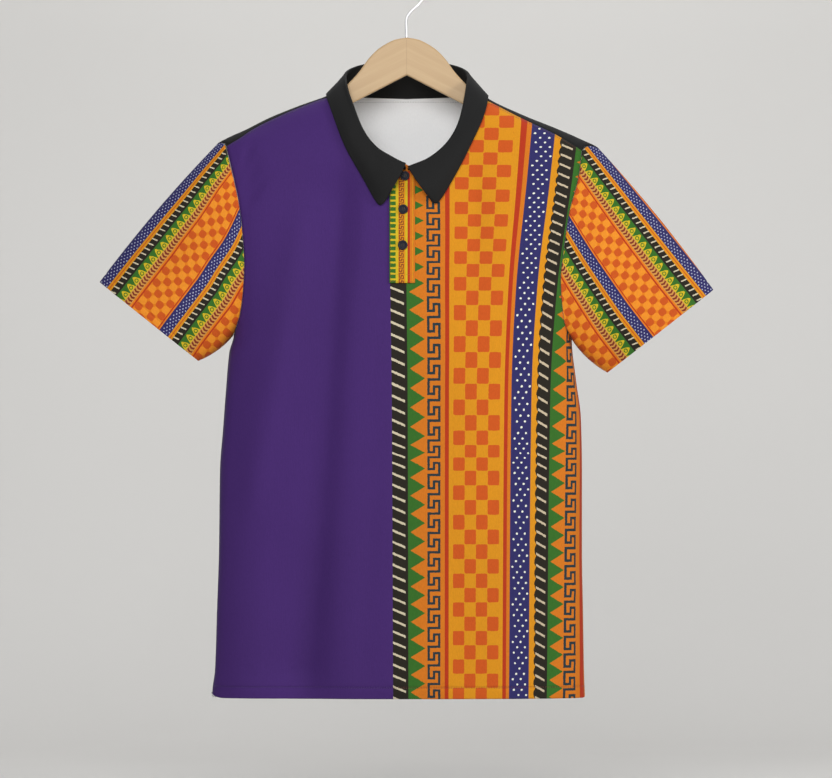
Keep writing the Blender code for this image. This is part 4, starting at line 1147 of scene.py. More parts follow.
@dataclass
class FrontPanel(Cloth):
    """The front in one piece, slit where the placket goes."""

    wall: float = 0.0012
    seam_gap: float = 0.00012
    slit_left: float = -0.0185
    slit_right: float = 0.0075
    slit_low: float = -0.3784
    side_rows: int = 84
    chest_rows: int = 16
    yoke_rows: int = 46
    shoulder_columns: int = 32
    neck_columns: int = 34
    slit_columns: int = 8
    neck_crowding: float = 0.9
    side_crowding: float = 1.35
    layout: PrintLayout = field(default_factory=PrintLayout)
    halves: dict = field(default_factory=dict)

    def half(self, side: Side) -> np.ndarray:
        """Points of one half, in rows from the side seam to the slit."""
        slit_x = -self.slit_left if side is LEFT else self.slit_right
        armpit, neck_end = FRONT_ARMHOLE[side][0], SHOULDER_SEAM[side][-1]
        seam = FORM.side_seam(side, armpit.z, self.side_rows)
        arm = resampled(FRONT_ARMHOLE[side], shares(self.chest_rows + self.yoke_rows))
        outer = np.concatenate([seam, arm[1:]])
        neck = through([*FRONT_NECK, neck_end])
        chest = np.linspace(armpit.z, self.slit_low, self.chest_rows + 1)[1:]
        yoke = np.linspace(self.slit_low, float(neck(slit_x)), self.yoke_rows + 1)[1:]
        inner_z = np.concatenate([seam[:, 1], chest, yoke])
        inner = np.stack([np.full_like(inner_z, slit_x), inner_z], axis=1)
        neck_x = neck_end.x + (slit_x - neck_end.x) * shares(self.neck_columns, self.neck_crowding)
        shoulder = resampled(SHOULDER_SEAM[side], shares(self.shoulder_columns))
        shoulder[:, 1] -= self.seam_gap / 2
        high = np.concatenate([shoulder, np.stack([neck_x, neck(neck_x)], axis=1)[1:]])
        outer[-1] = high[0]
        columns = shares(self.shoulder_columns + self.neck_columns, self.side_crowding)
        low = FORM.hem_line(outer[0, 0] + (slit_x - outer[0, 0]) * columns)
        flat = filled(outer, inner, low, high)
        x, z = flat[..., 0] * side.value, flat[..., 1]
        points = FORM.on_body(x, FORM.hem_rounded(x, z), Face.FRONT)
        points[..., 1] = np.minimum(points[..., 1], -self.seam_gap / 2)
        return points

    def build(self) -> bpy.types.Object:
        """Makes the panel."""
        self.halves = {side: self.half(side) for side in Side}
        rows = len(FORM.rows_up(0.0, self.side_rows)) + self.chest_rows
        left, right = self.halves[LEFT][:rows, -1], self.halves[RIGHT][:rows, -1]
        across = shares(self.slit_columns)[None, :, None]
        middle = left[:, None] * (1 - across) + right[:, None] * across
        middle = FORM.on_body(middle[..., 0], middle[..., 2], Face.FRONT)
        grids = [Grid(points, self.layout.places(points)) for points in (*self.halves.values(), middle)]
        mesh = woven("front_cloth", grids, lambda point: Vector((0, -1, 0)))
        return finished(mesh, "front_cloth", ["front"])


@dataclass
class BackPanel(Cloth):
    """The plain back, which comes over both shoulders to the seams in front of their ridges."""

    wall: float = 0.0012
    seam_gap: float = 0.00012
    side_rows: int = 84
    armhole_rows: int = 62
    shoulder_columns: int = 32
    neck_columns: int = 36
    over_rows: int = 8
    arm_crowding: float = 1.6
    neck_crowding: float = 1.5
    main: Optional[np.ndarray] = None
    over: dict = field(default_factory=dict)

    def outline(self) -> tuple[np.ndarray, np.ndarray, np.ndarray, np.ndarray]:
        """The two sides, the hem, and the shoulders' ridges with the neck between them."""
        outer, ridge = {}, {}
        for side in Side:
            seam = FORM.side_seam(side, BACK_ARMHOLE[side][0].z, self.side_rows)
            arm = resampled(BACK_ARMHOLE[side], 1 - shares(self.armhole_rows, self.arm_crowding)[::-1])
            outer[side] = np.concatenate([seam, arm[1:]]) * (side.value, 1)
            tip, neck = BACK_ARMHOLE[side][-1].x, BACK_NECK[0].x
            x = tip + (neck - tip) * shares(self.shoulder_columns)
            ridge[side] = np.stack([side.value * x, FORM.ridge_height(side, x)], axis=1)
        half_neck = resampled(BACK_NECK, shares(self.neck_columns, self.neck_crowding))
        neck_line = np.concatenate([half_neck * (-1, 1), half_neck[::-1][1:]])
        high = np.concatenate([ridge[LEFT], neck_line[1:-1], ridge[RIGHT][::-1]])
        high[0], high[-1] = outer[LEFT][-1], outer[RIGHT][-1]
        turn = np.cos(np.linspace(math.pi, 0, len(high)))
        left_x, right_x = outer[LEFT][0, 0], outer[RIGHT][0, 0]
        low = FORM.hem_line((left_x + right_x) / 2 + (right_x - left_x) / 2 * turn)
        return outer[LEFT], outer[RIGHT], low, high

    def forward(self, side: Side) -> np.ndarray:
        """The part of one shoulder that lies in front of its ridge, from the ridge to the seam."""
        count = self.shoulder_columns + 1
        ridge = self.main[-1, :count] if side is LEFT else self.main[-1, : -count - 1 : -1]
        seam = resampled(SHOULDER_SEAM[side], shares(self.shoulder_columns))
        last = FORM.on_body(side.value * seam[:, 0], seam[:, 1] + self.seam_gap / 2, Face.FRONT)
        off = last[:, 2] - FORM.over_shoulder(side, seam[:, 0], last[:, 1])[:, 2]
        rows = [ridge]
        for share in shares(self.over_rows)[1:]:
            x = np.abs(ridge[:, 0]) * (1 - share) + seam[:, 0] * share
            line = FORM.over_shoulder(side, x, last[:, 1] * share)
            line[:, 2] += off * share**2
            rows.append(line)
        return np.stack(rows)

    def build(self) -> bpy.types.Object:
        """Makes the panel."""
        flat = filled(*self.outline())
        x, z = flat[..., 0], flat[..., 1]
        self.main = FORM.on_body(x, FORM.hem_rounded(x, z), Face.BACK)
        self.main[..., 1] = np.maximum(self.main[..., 1], self.seam_gap / 2)
        count = self.shoulder_columns + 1
        for side, columns in ((LEFT, slice(0, count)), (RIGHT, slice(-count, None))):
            ridge_x = np.abs(self.main[-1, columns, 0])
            self.main[-1, columns, 1] = 0.0
            self.main[-1, columns, 2] = FORM.ridge_height(side, ridge_x)
        self.over = {side: self.forward(side) for side in Side}
        grids = [Grid(points, points[..., ::2] / UNIT) for points in (self.main, *self.over.values())]
        mesh = woven("back_cloth", grids, lambda point: Vector((0, 1, 0)))
        return finished(mesh, "back_cloth", ["back"])


@dataclass
class SetInSleeve(Cloth):
    """One short sleeve, sewn into its armhole and open at the cuff."""

    side: Side
    front: FrontPanel
    back: BackPanel
    wall: float = 0.0012
    start: float = 0.0006
    cuff_depth: float = 0.031
    swell: float = 0.0035
    rows: int = 64
    rows_end: float = 0.90
    hem_rows: int = 22
    hem_start: float = 0.906
    hem: float = 0.945
    hem_groove: float = 0.0006
    groove_width: float = 0.007
    top_step: float = 0.0012
    crease_slant: float = 0.25
    crease_run: float = 0.30
    crease_rise: float = 6.0
    crease_least: float = 0.15
    creases: Sequence[Crease] = (
        Crease(0.30, 0.62, 0.10, 0.0022), Crease(0.62, 0.30, 0.07, 0.0012), Crease(0.75, 0.78, 0.08, 0.0016),
        Crease(1.35, 0.55, 0.10, 0.0024), Crease(1.72, 0.35, 0.08, 0.0014),
    )
    print_bow: dict = field(default_factory=lambda: {LEFT: 2.2, RIGHT: 0.0})

    def halves(self) -> tuple[np.ndarray, np.ndarray]:
        """The armhole's line from the ridge down the front, and from the underarm up the back."""
        side_rows = len(FORM.rows_up(0.0, self.front.side_rows)) - 1
        over = self.back.over[self.side][:-1, 0]
        down = np.concatenate([over, self.front.halves[self.side][: side_rows - 1 : -1, 0]])
        column = 0 if self.side is LEFT else -1
        return down, self.back.main[side_rows:, column]

    def half(self, line: np.ndarray, first_turn: float, sign: int) -> Grid:
        """One half of the sleeve.

        Args:
            line: the armhole's points.
            first_turn: 0 from the ridge down the front, 1 from the underarm up the back.
            sign: 1 where the print's places count up from the top edge, -1 behind it.

        Returns:
            The half's points and places.
        """
        outer, inner = (np.array((self.side.value * mark.x, 0.0, mark.z)) for mark in CUFFS[self.side])
        centre, reach = (outer + inner) / 2, (outer - inner) / 2
        across = reach / np.linalg.norm(reach)
        along = self.side.value * np.array((across[2], 0.0, -across[0]))
        turn = math.pi * (first_turn + lengths(line))[:, None]
        depth = np.array((0.0, 1.0, 0.0))
        begin = line + along * (self.start + self.top_step * np.maximum(0, np.cos(turn)) ** 4)
        end = centre + reach * np.cos(turn) - depth * self.cuff_depth * np.sin(turn)
        swell = across * np.cos(turn) - depth * np.sin(turn)
        to_hem = np.linspace(0, self.rows_end, self.rows)
        steps = np.concatenate([to_hem, np.linspace(self.hem_start, 1.0, self.hem_rows)])
        rows = []
        for share in steps:
            puff = self.swell * 4 * share * (1 - share)
            groove = self.hem_groove * math.exp(-(((share - self.hem) / self.groove_width) ** 2))
            creases = self.creased(share, turn / math.pi)
            rows.append(begin * (1 - share) + end * share + swell * (puff - groove - creases))
        points = np.stack(rows)
        top = np.array((self.side.value * BACK_ARMHOLE[self.side][-1].x, 0.0, BACK_ARMHOLE[self.side][-1].z))
        edge = (outer - top) / np.linalg.norm(outer - top)
        down = self.side.value * np.array((edge[2], 0.0, -edge[0]))
        along_edge = (points - top) @ edge / UNIT
        across_bands = (points - top) @ down / UNIT / SLEEVE_NARROWING[self.side](along_edge)
        bow = self.print_bow[self.side] * 4 * steps * (1 - steps)
        return Grid(points, np.stack([across_bands * sign + bow[:, None], along_edge], axis=-1))

    def creased(self, share: float, turn: np.ndarray) -> np.ndarray:
        """How far the soft creases press in at a share of the length and at turns of half a circle."""
        total = np.zeros_like(turn)
        for crease in self.creases:
            off = share - crease.share
            path = crease.turn + off * self.crease_slant
            fade = min(1.0, self.crease_rise * share * (1 - share) + self.crease_least)
            fade *= math.exp(-((off / self.crease_run) ** 2))
            total += crease.depth * fade * np.exp(-(((turn - path) / crease.width) ** 2))
        return total

    def build(self) -> bpy.types.Object:
        """Makes the sleeve."""
        name = f"sleeve_{self.side.name.lower()}"
        down, up = self.halves()
        grids = [self.half(down, 0.0, 1), self.half(up, 1.0, -1)]
        middle = Vector(grids[0].points.mean(axis=(0, 1)) * 0.5 + grids[1].points.mean(axis=(0, 1)) * 0.5)
        mesh = woven(f"{name}_cloth", grids, lambda point: Vector((0, point.y - middle.y, 0)))
        return finished(mesh, f"{name}_cloth", [name])


@dataclass
class FoldedCollar(Cloth):
    """The collar: a stand sewn to the neck, and a fall folded over it."""

    wall: float = 0.0015
    step: float = 0.0006
    fold_radius: float = 0.0025
    fall_clearance: float = 0.0036
    fall_drop: float = 0.0006
    fall_bow: float = 0.0050
    fall_flat: float = 0.85
    flat_run: float = 3.2
    stand_bow: float = 0.0006
    stand_hold: float = 0.0020
    middle: tuple[float, float, float] = (0.0, 0.004, -0.19)
    leading_lift: float = 0.0042
    lift_run: float = 4.0
    lift_tip: float = 0.4
    panel_wall: float = 0.0015
    steps: int = 2
    arc_points: int = 5
    fall_points: int = 5
    ribs: tuple[float, float] = (5.0, 8.0)  # design units of one face, across and along
    smoothing: int = 2

    def neck_point(self, side: Side, x: float) -> Vector:
        """The point of the panels' neck edge at x, from the middle of the front up to the ridge."""
        end, ridge = SHOULDER_SEAM[side][-1], BACK_NECK[0]
        if x <= end.x:
            return Vector(FORM.on_body(side.value * x, through([*FRONT_NECK, end])(x), Face.FRONT))
        forward = FORM.on_body(side.value * end.x, end.z, Face.FRONT)[1]
        return Vector(FORM.over_shoulder(side, x, forward * (ridge.x - x) / (ridge.x - end.x)))

    def sections(self) -> list[tuple[Vector, Vector, Vector]]:
        """Seam, fold and free edge from the left front end, round the back, to the right front end."""
        sections = []
        back_neck = through(BACK_NECK)
        for side in Side:
            table = COLLAR_FRONT[side] + COLLAR_BACK
            ridge_row = len(COLLAR_FRONT[side])
            curves = [smooth_through(range(len(table)), column) for column in zip(*table)]
            half = []
            for step in range((len(table) - 1) * self.steps + 1):
                k = step / self.steps
                seam_x, fold_x, fold_z, fold_y, edge_x, edge_z = (float(curve(k)) for curve in curves)
                ridge = float(FORM.ridge_height(side, np.array(max(edge_x, BACK_NECK[0].x))))
                if k < ridge_row:
                    seam = self.neck_point(side, seam_x)
                    edge = FORM.on_body(side.value * edge_x, edge_z, Face.FRONT)
                else:
                    seam = Vector(FORM.on_body(side.value * seam_x, back_neck(seam_x), Face.BACK))
                    edge_z = min(edge_z, ridge - self.fall_drop)
                    edge = FORM.on_body(side.value * edge_x, edge_z, Face.BACK)
                if k == ridge_row:
                    edge = np.array((side.value * edge_x, 0.0, ridge))
                out = Vector(FORM.outward(np.array(edge)))
                fold = Vector((side.value * fold_x, fold_y, fold_z))
                half.append((seam, fold, Vector(edge) + out * self.fall_clearance))
            sections += half if side is LEFT else half[-2::-1]
        return sections

    def row(self, sections: list, k: int) -> list[Vector]:
        """One section: up the stand's inner face, over the fold and down the fall."""
        seam, fold, edge = sections[k]
        before, after = sections[max(0, k - 1)], sections[min(len(sections) - 1, k + 1)]
        along = (after[1] - before[1]).normalized()
        up = (Vector((0, 0, 1)) - along * along.z).normalized()
        inward = along.cross(up)
        if inward.dot(Vector((-fold.x, self.middle[1] - fold.y, 0))) < 0:
            inward = -inward
        normal = Vector(FORM.outward(np.array(seam)))
        rise = (after[0] - before[0]).normalized().cross(normal).normalized()
        rise = rise if rise.dot(fold - seam) > 0 else -rise
        foot = seam - normal * self.panel_wall + rise * self.step
        hold = foot + rise * self.stand_hold
        centre = fold - up * self.fold_radius
        points = [foot, hold, hold.lerp(centre + inward * self.fold_radius, 0.5) + inward * self.stand_bow]
        for turn in range(self.arc_points):
            angle = math.pi * turn / (self.arc_points - 1)
            points.append(centre + (inward * math.cos(angle) + up * math.sin(angle)) * self.fold_radius)
        start, row = points[-1], min(k, len(sections) - 1 - k) / self.steps
        lift = self.leading_lift * max(0.0, 1 - row / self.lift_run)
        flat = self.fall_flat * math.exp(-(((row - len(COLLAR_FRONT[LEFT])) / self.flat_run) ** 2))
        for step in range(1, self.fall_points + 1):
            share = step / self.fall_points
            bow = (self.fall_bow * (1 - flat) + lift) * math.sin(math.pi * share)
            bow += lift * self.lift_tip * share * (1 - share)
            points.append(start.lerp(edge, share) - inward * bow)
        return points

    def build(self) -> bpy.types.Object:
        """Makes the collar."""
        sections = self.sections()
        points = np.array([[tuple(point) for point in self.row(sections, k)] for k in range(len(sections))])
        count, across = points.shape[:2]
        u, v = np.meshgrid(np.arange(across) * self.ribs[0], np.arange(count) * self.ribs[1])
        middle = Vector((0.0, 0.0, self.middle[2]))
        grid = Grid(points, np.stack([u, v], axis=-1))
        mesh = woven("collar_cloth", [grid], lambda point: point - middle)
        falls = [face for face in mesh.polygons if face.index % (across - 1) > self.arc_points + 2]
        if sum(face.normal.dot(face.center - middle) for face in falls) < 0:
            mesh.flip_normals()
        piece = finished(mesh, "collar_cloth", ["collar"])
        smooth = piece.modifiers.new("Smooth bend", "SUBSURF")
        smooth.levels = smooth.render_levels = self.smoothing
        smooth.boundary_smooth = "PRESERVE_CORNERS"
        return piece


@dataclass
class PlacketStrip(Cloth):
    """One of the two strips of the neck slit, on the panel's outer or inner face."""

    name: str
    out: float
    left: float = -0.0208
    right: float = 0.0098
    low: float = -0.3807
    top_gap: float = 0.0014
    wall: float = 0.0013
    tongue: float = 0.0
    tongue_x: float = -0.0017
    tongue_half: float = 0.0080
    print_shift: float = 0.0
    rows: int = 60
    columns: int = 16

    def build(self) -> bpy.types.Object:
        """Makes the strip from the panel's own points moved out."""
        x = np.linspace(self.left, self.right, self.columns + 1)
        neck = through(FRONT_NECK)
        rise = np.maximum(0.0, 1 - ((x - self.tongue_x) / self.tongue_half) ** 2)
        top = neck(np.abs(x)) - self.top_gap + self.tongue * rise
        z = self.low + (top - self.low)[None, :] * shares(self.rows)[:, None]
        body = FORM.on_body(np.broadcast_to(x, z.shape), z, Face.FRONT)
        points = body + FORM.outward(body) * self.out
        places = np.stack([(points[..., 0] - self.left) / UNIT + self.print_shift, points[..., 2] / UNIT], axis=-1)
        mesh = woven(f"{self.name}_cloth", [Grid(points, places)], lambda point: Vector((0, -1, 0)))
        return finished(mesh, f"{self.name}_cloth", [self.name])


@dataclass
class FourHoleButton(Hard):
    """A dished four-hole button, sewn flat on the placket with two bars of thread."""

    name: str
    place: Mark
    radius: float = 0.00575
    thick: float = 0.0024
    hole_radius: float = 0.0008
    hole_spread: float = 0.0016
    lift: float = 0.0019
    rim_steps: int = 56
    hole_sides: int = 20
    sharp: float = 38.0
    thread_rise: tuple[float, float, float] = (0.24, 0.10, 0.30)  # at its ends, more in the middle, less at the holes
    thread_sink: float = 0.78
    thread_points: int = 9
    # Its turned outline, from the middle of the top to the middle of the back: shares of radius and half thickness
    PROFILE: ClassVar[tuple[tuple[float, float], ...]] = (
        (0.0, 0.42), (0.35, 0.42), (0.56, 0.48), (0.64, 0.62), (0.70, 0.88), (0.77, 1.0), (0.88, 1.0), (0.95, 0.90),
        (0.99, 0.66), (1.0, 0.40), (1.0, -0.50), (0.97, -0.80), (0.90, -1.0), (0.0, -1.0),
    )

    def frame(self) -> tuple[Vector, Vector]:
        """The button's middle and the direction that it faces."""
        seat = FORM.on_body(self.place.x, self.place.z, Face.FRONT)
        out = Vector(FORM.outward(seat))
        return Vector(seat) + out * (self.lift + self.thick / 2), out

    def build(self) -> bpy.types.Object:
        """Makes the button: a turned outline with four drilled holes."""
        spots = [(x * self.radius, 0.0, z * self.thick / 2) for x, z in self.PROFILE]
        turned = linked(self.name, drawn(self.name, spots, [(i, i + 1) for i in range(len(spots) - 1)]))
        screw = turned.modifiers.new("Turned", "SCREW")
        screw.steps = screw.render_steps = self.rim_steps
        screw.use_merge_vertices = True
        screw.merge_threshold = 0.00005
        drills = bmesh.new()
        for k in range(4):
            angle = math.pi / 4 + k * math.pi / 2
            at = Vector((math.cos(angle), math.sin(angle), 0)) * self.hole_spread
            made = bmesh.ops.create_cone(
                drills, cap_ends=True, segments=self.hole_sides, radius1=self.hole_radius, radius2=self.hole_radius,
                depth=self.thick * 3,
            )
            bmesh.ops.translate(drills, verts=made["verts"], vec=at)
        drill_mesh = bpy.data.meshes.new(f"{self.name}_drills")
        drills.to_mesh(drill_mesh)
        drills.free()
        drill = linked(f"{self.name}_drills", drill_mesh)
        hole = turned.modifiers.new("Holes", "BOOLEAN")
        hole.solver = "EXACT"
        hole.object = drill
        mesh = applied(turned, drill)
        middle, out = self.frame()
        turn = out.to_track_quat("Z", "Y").to_matrix().to_4x4()
        turn.translation = middle
        mesh.transform(turn)
        mesh.shade_smooth()
        mesh.set_sharp_from_angle(angle=math.radians(self.sharp))
        return finished(mesh, f"{self.name}_resin", [self.name])

    def thread_lines(self) -> list[np.ndarray]:
        """The two bars of thread that cross the button's holes."""
        middle, out = self.frame()
        across = Vector((1, 0, 0)).cross(out).cross(out).normalized() * -1
        up = out.cross(across).normalized()
        reach = self.hole_spread * math.cos(math.pi / 4)
        ends, bow, dip = self.thread_rise
        lines = []
        for side in (-1, 1):
            line = []
            for share in np.linspace(-1, 1, self.thread_points):
                rise = self.thick * (ends + bow * math.sqrt(max(0.0, 1 - share**2)) - dip * abs(share) ** 6)
                line.append(tuple(middle + across * side * reach + up * share * reach + out * rise))
            first, last = (tuple(Vector(line[k]) - out * self.thick * self.thread_sink) for k in (0, -1))
            lines.append(np.array([first, *line, last]))
        return lines


@dataclass
class Stitching:
    """Rows of stitches laid along paths by Geometry Nodes."""

    name: str
    slot: str
    spacing: float = 0.0030
    length: float = 0.00115
    thick: float = 0.00016
    NODES: ClassVar[dict[str, str]] = {
        "given": "NodeGroupInput", "result": "NodeGroupOutput", "curve": "GeometryNodeMeshToCurve",
        "points": "GeometryNodeCurveToPoints", "ball": "GeometryNodeMeshUVSphere", "size": "ShaderNodeCombineXYZ",
        "turn": "FunctionNodeAlignRotationToVector", "placed": "GeometryNodeInstanceOnPoints",
        "real": "GeometryNodeRealizeInstances", "smooth": "GeometryNodeSetShadeSmooth",
        "dressed": "GeometryNodeSetMaterial",
    }
    # Each link's node and output, and the node and input that it leads to
    LINKS: ClassVar[tuple[str, ...]] = (
        "given > Paths > curve > Mesh", "curve > Curve > points > Curve", "given > Spacing > points > Length",
        "points > Points > placed > Points", "points > Tangent > turn > Vector",
        "turn > Rotation > placed > Rotation", "ball > Mesh > placed > Instance", "given > Thickness > size > X",
        "given > Thickness > size > Y", "given > Half length > size > Z", "size > Vector > placed > Scale",
        "placed > Instances > real > Geometry", "real > Geometry > smooth > Geometry",
        "smooth > Geometry > dressed > Geometry", "dressed > Geometry > result > Stitches",
    )

    def tree(self, thread: bpy.types.Material) -> bpy.types.NodeTree:
        """The nodes that turn paths into stitches, with inputs for spacing, length and thickness."""
        group = bpy.data.node_groups.new(f"{self.name}_nodes", "GeometryNodeTree")
        group.interface.new_socket("Paths", in_out="INPUT", socket_type="NodeSocketGeometry")
        for label in ("Spacing", "Half length", "Thickness"):
            group.interface.new_socket(label, in_out="INPUT", socket_type="NodeSocketFloat")
        group.interface.new_socket("Stitches", in_out="OUTPUT", socket_type="NodeSocketGeometry")
        nodes = {name: group.nodes.new(kind) for name, kind in self.NODES.items()}
        nodes["points"].mode = "LENGTH"
        for name, value in {"Segments": 6, "Rings": 4, "Radius": 1.0}.items():
            nodes["ball"].inputs[name].default_value = value
        nodes["turn"].axis = "Z"
        nodes["dressed"].inputs["Material"].default_value = thread
        for link in self.LINKS:
            start, output, end, given = link.split(" > ")
            group.links.new(nodes[start].outputs[output], nodes[end].inputs[given])
        return group

    def sewn(self, paths: Sequence[np.ndarray], thread: bpy.types.Material) -> bpy.types.Object:
        """Lays the stitches.

        Args:
            paths: lines of points just above the cloth.
            thread: the thread's material.

        Returns:
            The stitches, as one piece.
        """
        points, edges, base = [], [], 0
        for path in paths:
            points += [tuple(point) for point in path]
            edges += [(base + i, base + i + 1) for i in range(len(path) - 1)]
            base += len(path)
        carrier = linked(f"{self.name}_paths", drawn(f"{self.name}_paths", points, edges))
        modifier = carrier.modifiers.new("Stitches", "NODES")
        modifier.node_group = self.tree(thread)
        values = {"Spacing": self.spacing, "Half length": self.length, "Thickness": self.thick}
        for item in modifier.node_group.interface.items_tree:
            if item.name in values:
                modifier[item.identifier] = values[item.name]
        return finished(applied(carrier), self.name, [])


@dataclass
class SeamLines:
    """Where the shirt is stitched."""

    front: FrontPanel
    back: BackPanel
    hem_rows: tuple[float, float] = (0.0131, 0.0145)
    seam_inset: float = 0.0022
    placket_inset: float = 0.0016
    placket_foot: float = 0.0085
    placket_top: float = 0.004
    tape_half: float = 0.062
    tape_drop: float = 0.0035
    hem_turn: tuple[float, float] = (0.985, 0.015)  # of half a circle
    seam_span: tuple[float, float] = (0.03, 0.97)
    hem_points: int = 300
    seam_points: int = 80
    placket_points: tuple[int, int] = (70, 20)
    tape_points: int = 120

    def lifted(self, points: np.ndarray, lift: float = STITCH_LIFT) -> np.ndarray:
        """Points of the body's face, moved just off it."""
        return points + FORM.outward(points) * lift

    def hem(self, face: Face) -> list[np.ndarray]:
        """The two rows of the hem on one face, from side seam to side seam."""
        paths = []
        for height in self.hem_rows:
            z = FORM.hem_z + height
            left, right = (sign * float(FORM.half_width(np.array(sign), np.array(z))) for sign in (-1.0, 1.0))
            turn = np.cos(np.linspace(*(math.pi * end for end in self.hem_turn), self.hem_points))
            x = (left + right) / 2 + (right - left) / 2 * turn
            paths.append(self.lifted(FORM.on_body(x, np.full_like(x, z), face)))
        return paths

    def shoulder(self, side: Side) -> np.ndarray:
        """The row on the front beside one shoulder seam."""
        seam = resampled(SHOULDER_SEAM[side], np.linspace(*self.seam_span, self.seam_points))
        z = seam[:, 1] - self.seam_inset
        return self.lifted(FORM.on_body(side.value * seam[:, 0], z, Face.FRONT))

    def placket(self, out: float) -> list[np.ndarray]:
        """The placket's edge rows and the box at its foot."""
        strip = PlacketStrip("placket_over", out)
        left, right = strip.left + self.placket_inset, strip.right - self.placket_inset
        low = strip.low + self.placket_inset
        neck = through(FRONT_NECK)
        up, across = self.placket_points
        z = np.linspace(low, float(neck(right)) - self.placket_top, up)
        x = np.linspace(left, right, across)
        lines = [(np.full_like(z, edge), z) for edge in (left, right)]
        lines += [(x, np.full_like(x, level)) for level in (low, low + self.placket_foot)]
        return [self.lifted(FORM.on_body(a, b, Face.FRONT), out + STITCH_LIFT) for a, b in lines]

    def neck_tape(self, wall: float) -> np.ndarray:
        """The row on the back's inner face below the neck seam."""
        x = np.linspace(-self.tape_half, self.tape_half, self.tape_points)
        points = FORM.on_body(x, np.full_like(x, BACK_NECK[-1].z - self.tape_drop), Face.BACK)
        return points - FORM.outward(points) * (wall + STITCH_LIFT)


@dataclass
class HookWire(Hard):
    """The hanger's wire hook: a stem, a small bend, and most of a circle open on the left."""

    radius: float = 0.00145
    hook_radius: float = 0.0250
    stem_x: float = -0.0008
    stem_foot: float = -0.0965
    stem_top: float = -0.0720
    first: float = -40.0
    last: float = 205.0
    steps: int = 80
    roundness: int = 5
    sharp: float = 60.0
    bend: Sequence[Mark] = (
        Mark(-0.0008, -0.0640), Mark(0.0012, -0.0585), Mark(0.0068, -0.0522), Mark(0.0137, -0.0462)
    )

    def build(self) -> bpy.types.Object:
        """Makes the hook."""
        turns = np.radians(np.linspace(self.first, self.last, self.steps))
        centre_z = self.radius - self.hook_radius
        route = [(self.stem_x, self.stem_foot), (self.stem_x, self.stem_top), *self.bend]
        route += [(self.hook_radius * math.cos(a), centre_z + self.hook_radius * math.sin(a)) for a in turns]
        curve = bpy.data.curves.new("hook_wire", "CURVE")
        curve.dimensions = "3D"
        curve.bevel_depth = self.radius
        curve.bevel_resolution = self.roundness
        curve.use_fill_caps = True
        spline = curve.splines.new("POLY")
        spline.points.add(len(route) - 1)
        for point, (x, z) in zip(spline.points, route):
            point.co = (x, 0.0, z, 1.0)
        mesh = applied(linked("hook_wire", curve))
        mesh.shade_smooth()
        mesh.set_sharp_from_angle(angle=math.radians(self.sharp))
        return finished(mesh, "hook_wire", ["hanger_hook"])


class Lamp(NamedTuple):
    """One soft square light and the place that it is turned to, in metres and watts."""

    name: str
    place: tuple[float, float, float]
    aim: tuple[float, float, float]
    size: float
    power: float


@dataclass
class Studio:
    """The pale floor, the soft lights and the camera at the photograph's place."""

    camera_place: tuple = (0.0110, -10.0, -0.5070)
    lens: float = 360.6
    floor_z: float = -1.0
    floor_reach: float = 3.6
    wall_y: float = 2.4
    wall_height: float = 4.5
    front_y: float = -6.0
    sweep: float = 1.0
    sweep_steps: int = 15
    sensor: float = 36.0
    sky: Colour = (0.93, 0.95, 1.0, 1.0)
    sky_strength: float = 0.19
    lamps: Sequence[Lamp] = (
        Lamp("key", (3.3, -1.75, 0.7), (0.0, 0.0, -0.5), 1.1, 60.0),
        Lamp("front", (-0.3, -3.0, 0.7), (0.0, 0.0, -0.5), 1.7, 64.0),
        Lamp("backdrop", (0.0, 0.9, 1.6), (0.0, 2.4, -0.8), 1.6, 34.0),
    )

    def floor(self) -> None:
        """A floor that sweeps up behind into a backdrop."""
        outline = [(self.front_y, self.floor_z), (self.wall_y - self.sweep, self.floor_z)]
        for turn in np.radians(np.linspace(-90, 0, self.sweep_steps + 1)[1:]):
            y = self.wall_y - self.sweep + self.sweep * math.cos(turn)
            outline.append((y, self.floor_z + self.sweep + self.sweep * math.sin(turn)))
        outline.append((self.wall_y, self.floor_z + self.wall_height))
        points = [(x, y, z) for x in (-self.floor_reach, self.floor_reach) for y, z in outline]
        count = len(outline)
        faces = [(i, i + count, i + count + 1, i + 1) for i in range(count - 1)]
        mesh = drawn("floor", points, faces=faces)
        mesh.shade_smooth()
        mesh.materials.append(PaleFloor().made())
        linked("floor", mesh)

    def light(self, lamp: Lamp) -> None:
        """Hangs one light."""
        data = bpy.data.lights.new(lamp.name, "AREA")
        data.size, data.energy = lamp.size, lamp.power
        obj = linked(lamp.name, data)
        obj.location = lamp.place
        obj.rotation_euler = (Vector(lamp.aim) - Vector(lamp.place)).to_track_quat("-Z", "Y").to_euler()

    def build(self) -> None:
        """Sets the whole studio."""
        scene = bpy.context.scene
        self.floor()
        for lamp in self.lamps:
            self.light(lamp)
        world = bpy.data.worlds.new("soft light")
        world.use_nodes = True
        background = world.node_tree.nodes["Background"].inputs
        background["Color"].default_value = self.sky
        background["Strength"].default_value = self.sky_strength
        scene.world = world
        camera = bpy.data.cameras.new("camera")
        camera.lens = self.lens
        camera.sensor_width = self.sensor
        camera.sensor_fit = "HORIZONTAL"
        obj = linked("camera", camera)
        obj.location = self.camera_place
        obj.rotation_euler = (math.pi / 2, 0.0, 0.0)
        scene.camera = obj
        scene.view_settings.view_transform = "Standard"


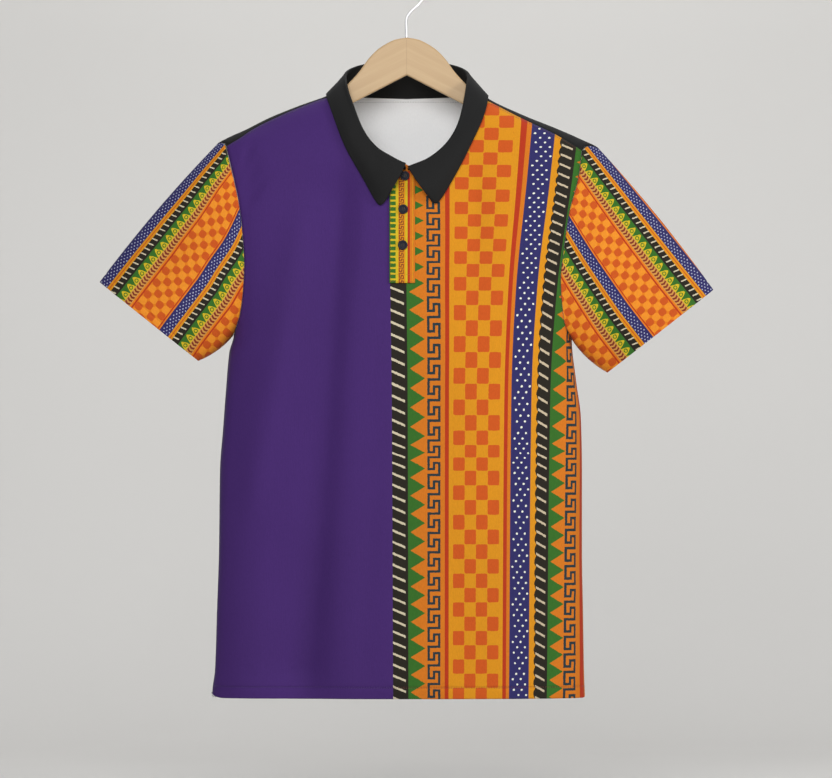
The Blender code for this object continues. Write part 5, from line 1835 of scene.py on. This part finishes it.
def main() -> None:
    """Builds and dresses every piece of the shirt and its hanger, in the order that they are sewn."""
    logging.basicConfig(level=logging.INFO, format="%(message)s")
    Studio().build()
    inside = Knit("inside_white", Ink.WHITE, mottle=0.05, bump=0.00012).made()
    black = Knit("collar_black", Ink.BLACK, bump=0.00016, mottle=0.10).made()
    yarns = (Ink.PURPLE, Ink.ORANGE, Ink.MAROON, Ink.BLACK)
    threads = {ink: Thread(f"thread_{ink.name.lower()}", ink).made() for ink in yarns}

    front, back = FrontPanel(), BackPanel()
    front_piece, back_piece = front.build(), back.build()
    front.dress(front_piece, Knit("front_print", Ink.PURPLE, BandedPrint(BODY_PRINT)).made(), inside)
    back.dress(back_piece, Knit("back_black", Ink.BLACK, mottle=0.10).made(), inside)
    log.info("front and back: %d and %d faces", len(front_piece.data.polygons), len(back_piece.data.polygons))

    sleeve_bands = BandedPrint(
        SLEEVE_PRINT, repeats=True, dash_margin=0.34, dot_radius=0.235, dot_spread=1.30, dot_shift=0.5,
        check_corner=2.6, check_pale=Ink.AMBER,
    )
    sleeve_print = Knit("sleeve_print", Ink.ORANGE, sleeve_bands).made()
    sleeves = {}
    for side in Side:
        sleeve = SetInSleeve(side, front, back)
        sleeves[side] = sleeve.build()
        sleeve.dress(sleeves[side], sleeve_print, inside)
        log.info("%s: %d faces", sleeves[side].name, len(sleeves[side].data.polygons))

    collar = FoldedCollar()
    collar_piece = collar.build()
    collar.dress(collar_piece, black, black)
    placket_print = Knit("placket_print", Ink.ORANGE, BandedPrint(PLACKET_PRINT)).made()
    over = PlacketStrip("placket_over", out=0.0016)
    under = PlacketStrip("placket_under", out=-0.0018, tongue=0.0095, print_shift=9.0)
    strips = {}
    for strip in (over, under):
        strips[strip.name] = strip.build()
        strip.dress(strips[strip.name], placket_print, inside)
    log.info("collar and placket sewn")

    resin = ButtonResin().made()
    bars = []
    for name, place in BUTTONS.items():
        button = FourHoleButton(name, place)
        button.dress(button.build(), resin)
        bars += button.thread_lines()
    thread = Stitching("button_thread", "buttons", spacing=0.00030, length=0.00040, thick=0.00052)
    thread.sewn(bars, threads[Ink.BLACK])

    seams = SeamLines(front, back)
    left, right = [], []
    for path in seams.hem(Face.FRONT):
        printed = path[:, 0] >= front.layout.edge(path[:, 2])
        left.append(path[~printed])
        right.append(path[printed])
    plain = Stitching("stitches_purple", "front_cloth").sewn([*left, seams.shoulder(LEFT)], threads[Ink.PURPLE])
    bright = Stitching("stitches_orange", "front_cloth").sewn([*right, seams.shoulder(RIGHT)], threads[Ink.MAROON])
    edge = Stitching("stitches_placket", "placket_cloth", spacing=0.0026, length=0.0010).sewn(
        seams.placket(over.out), threads[Ink.ORANGE]
    )
    dark = Stitching("stitches_back", "back_cloth").sewn(
        seams.hem(Face.BACK) + [seams.neck_tape(back.wall)], threads[Ink.BLACK]
    )
    log.info("stitches laid")

    hook = HookWire()
    hook.dress(hook.build(), BrightWire().made())
    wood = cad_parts["hanger_wood"]
    for slot in wood.material_slots:
        slot.material = PaleWood().made()
    log.info("hanger dressed")


if __name__ == "__main__":
    main()
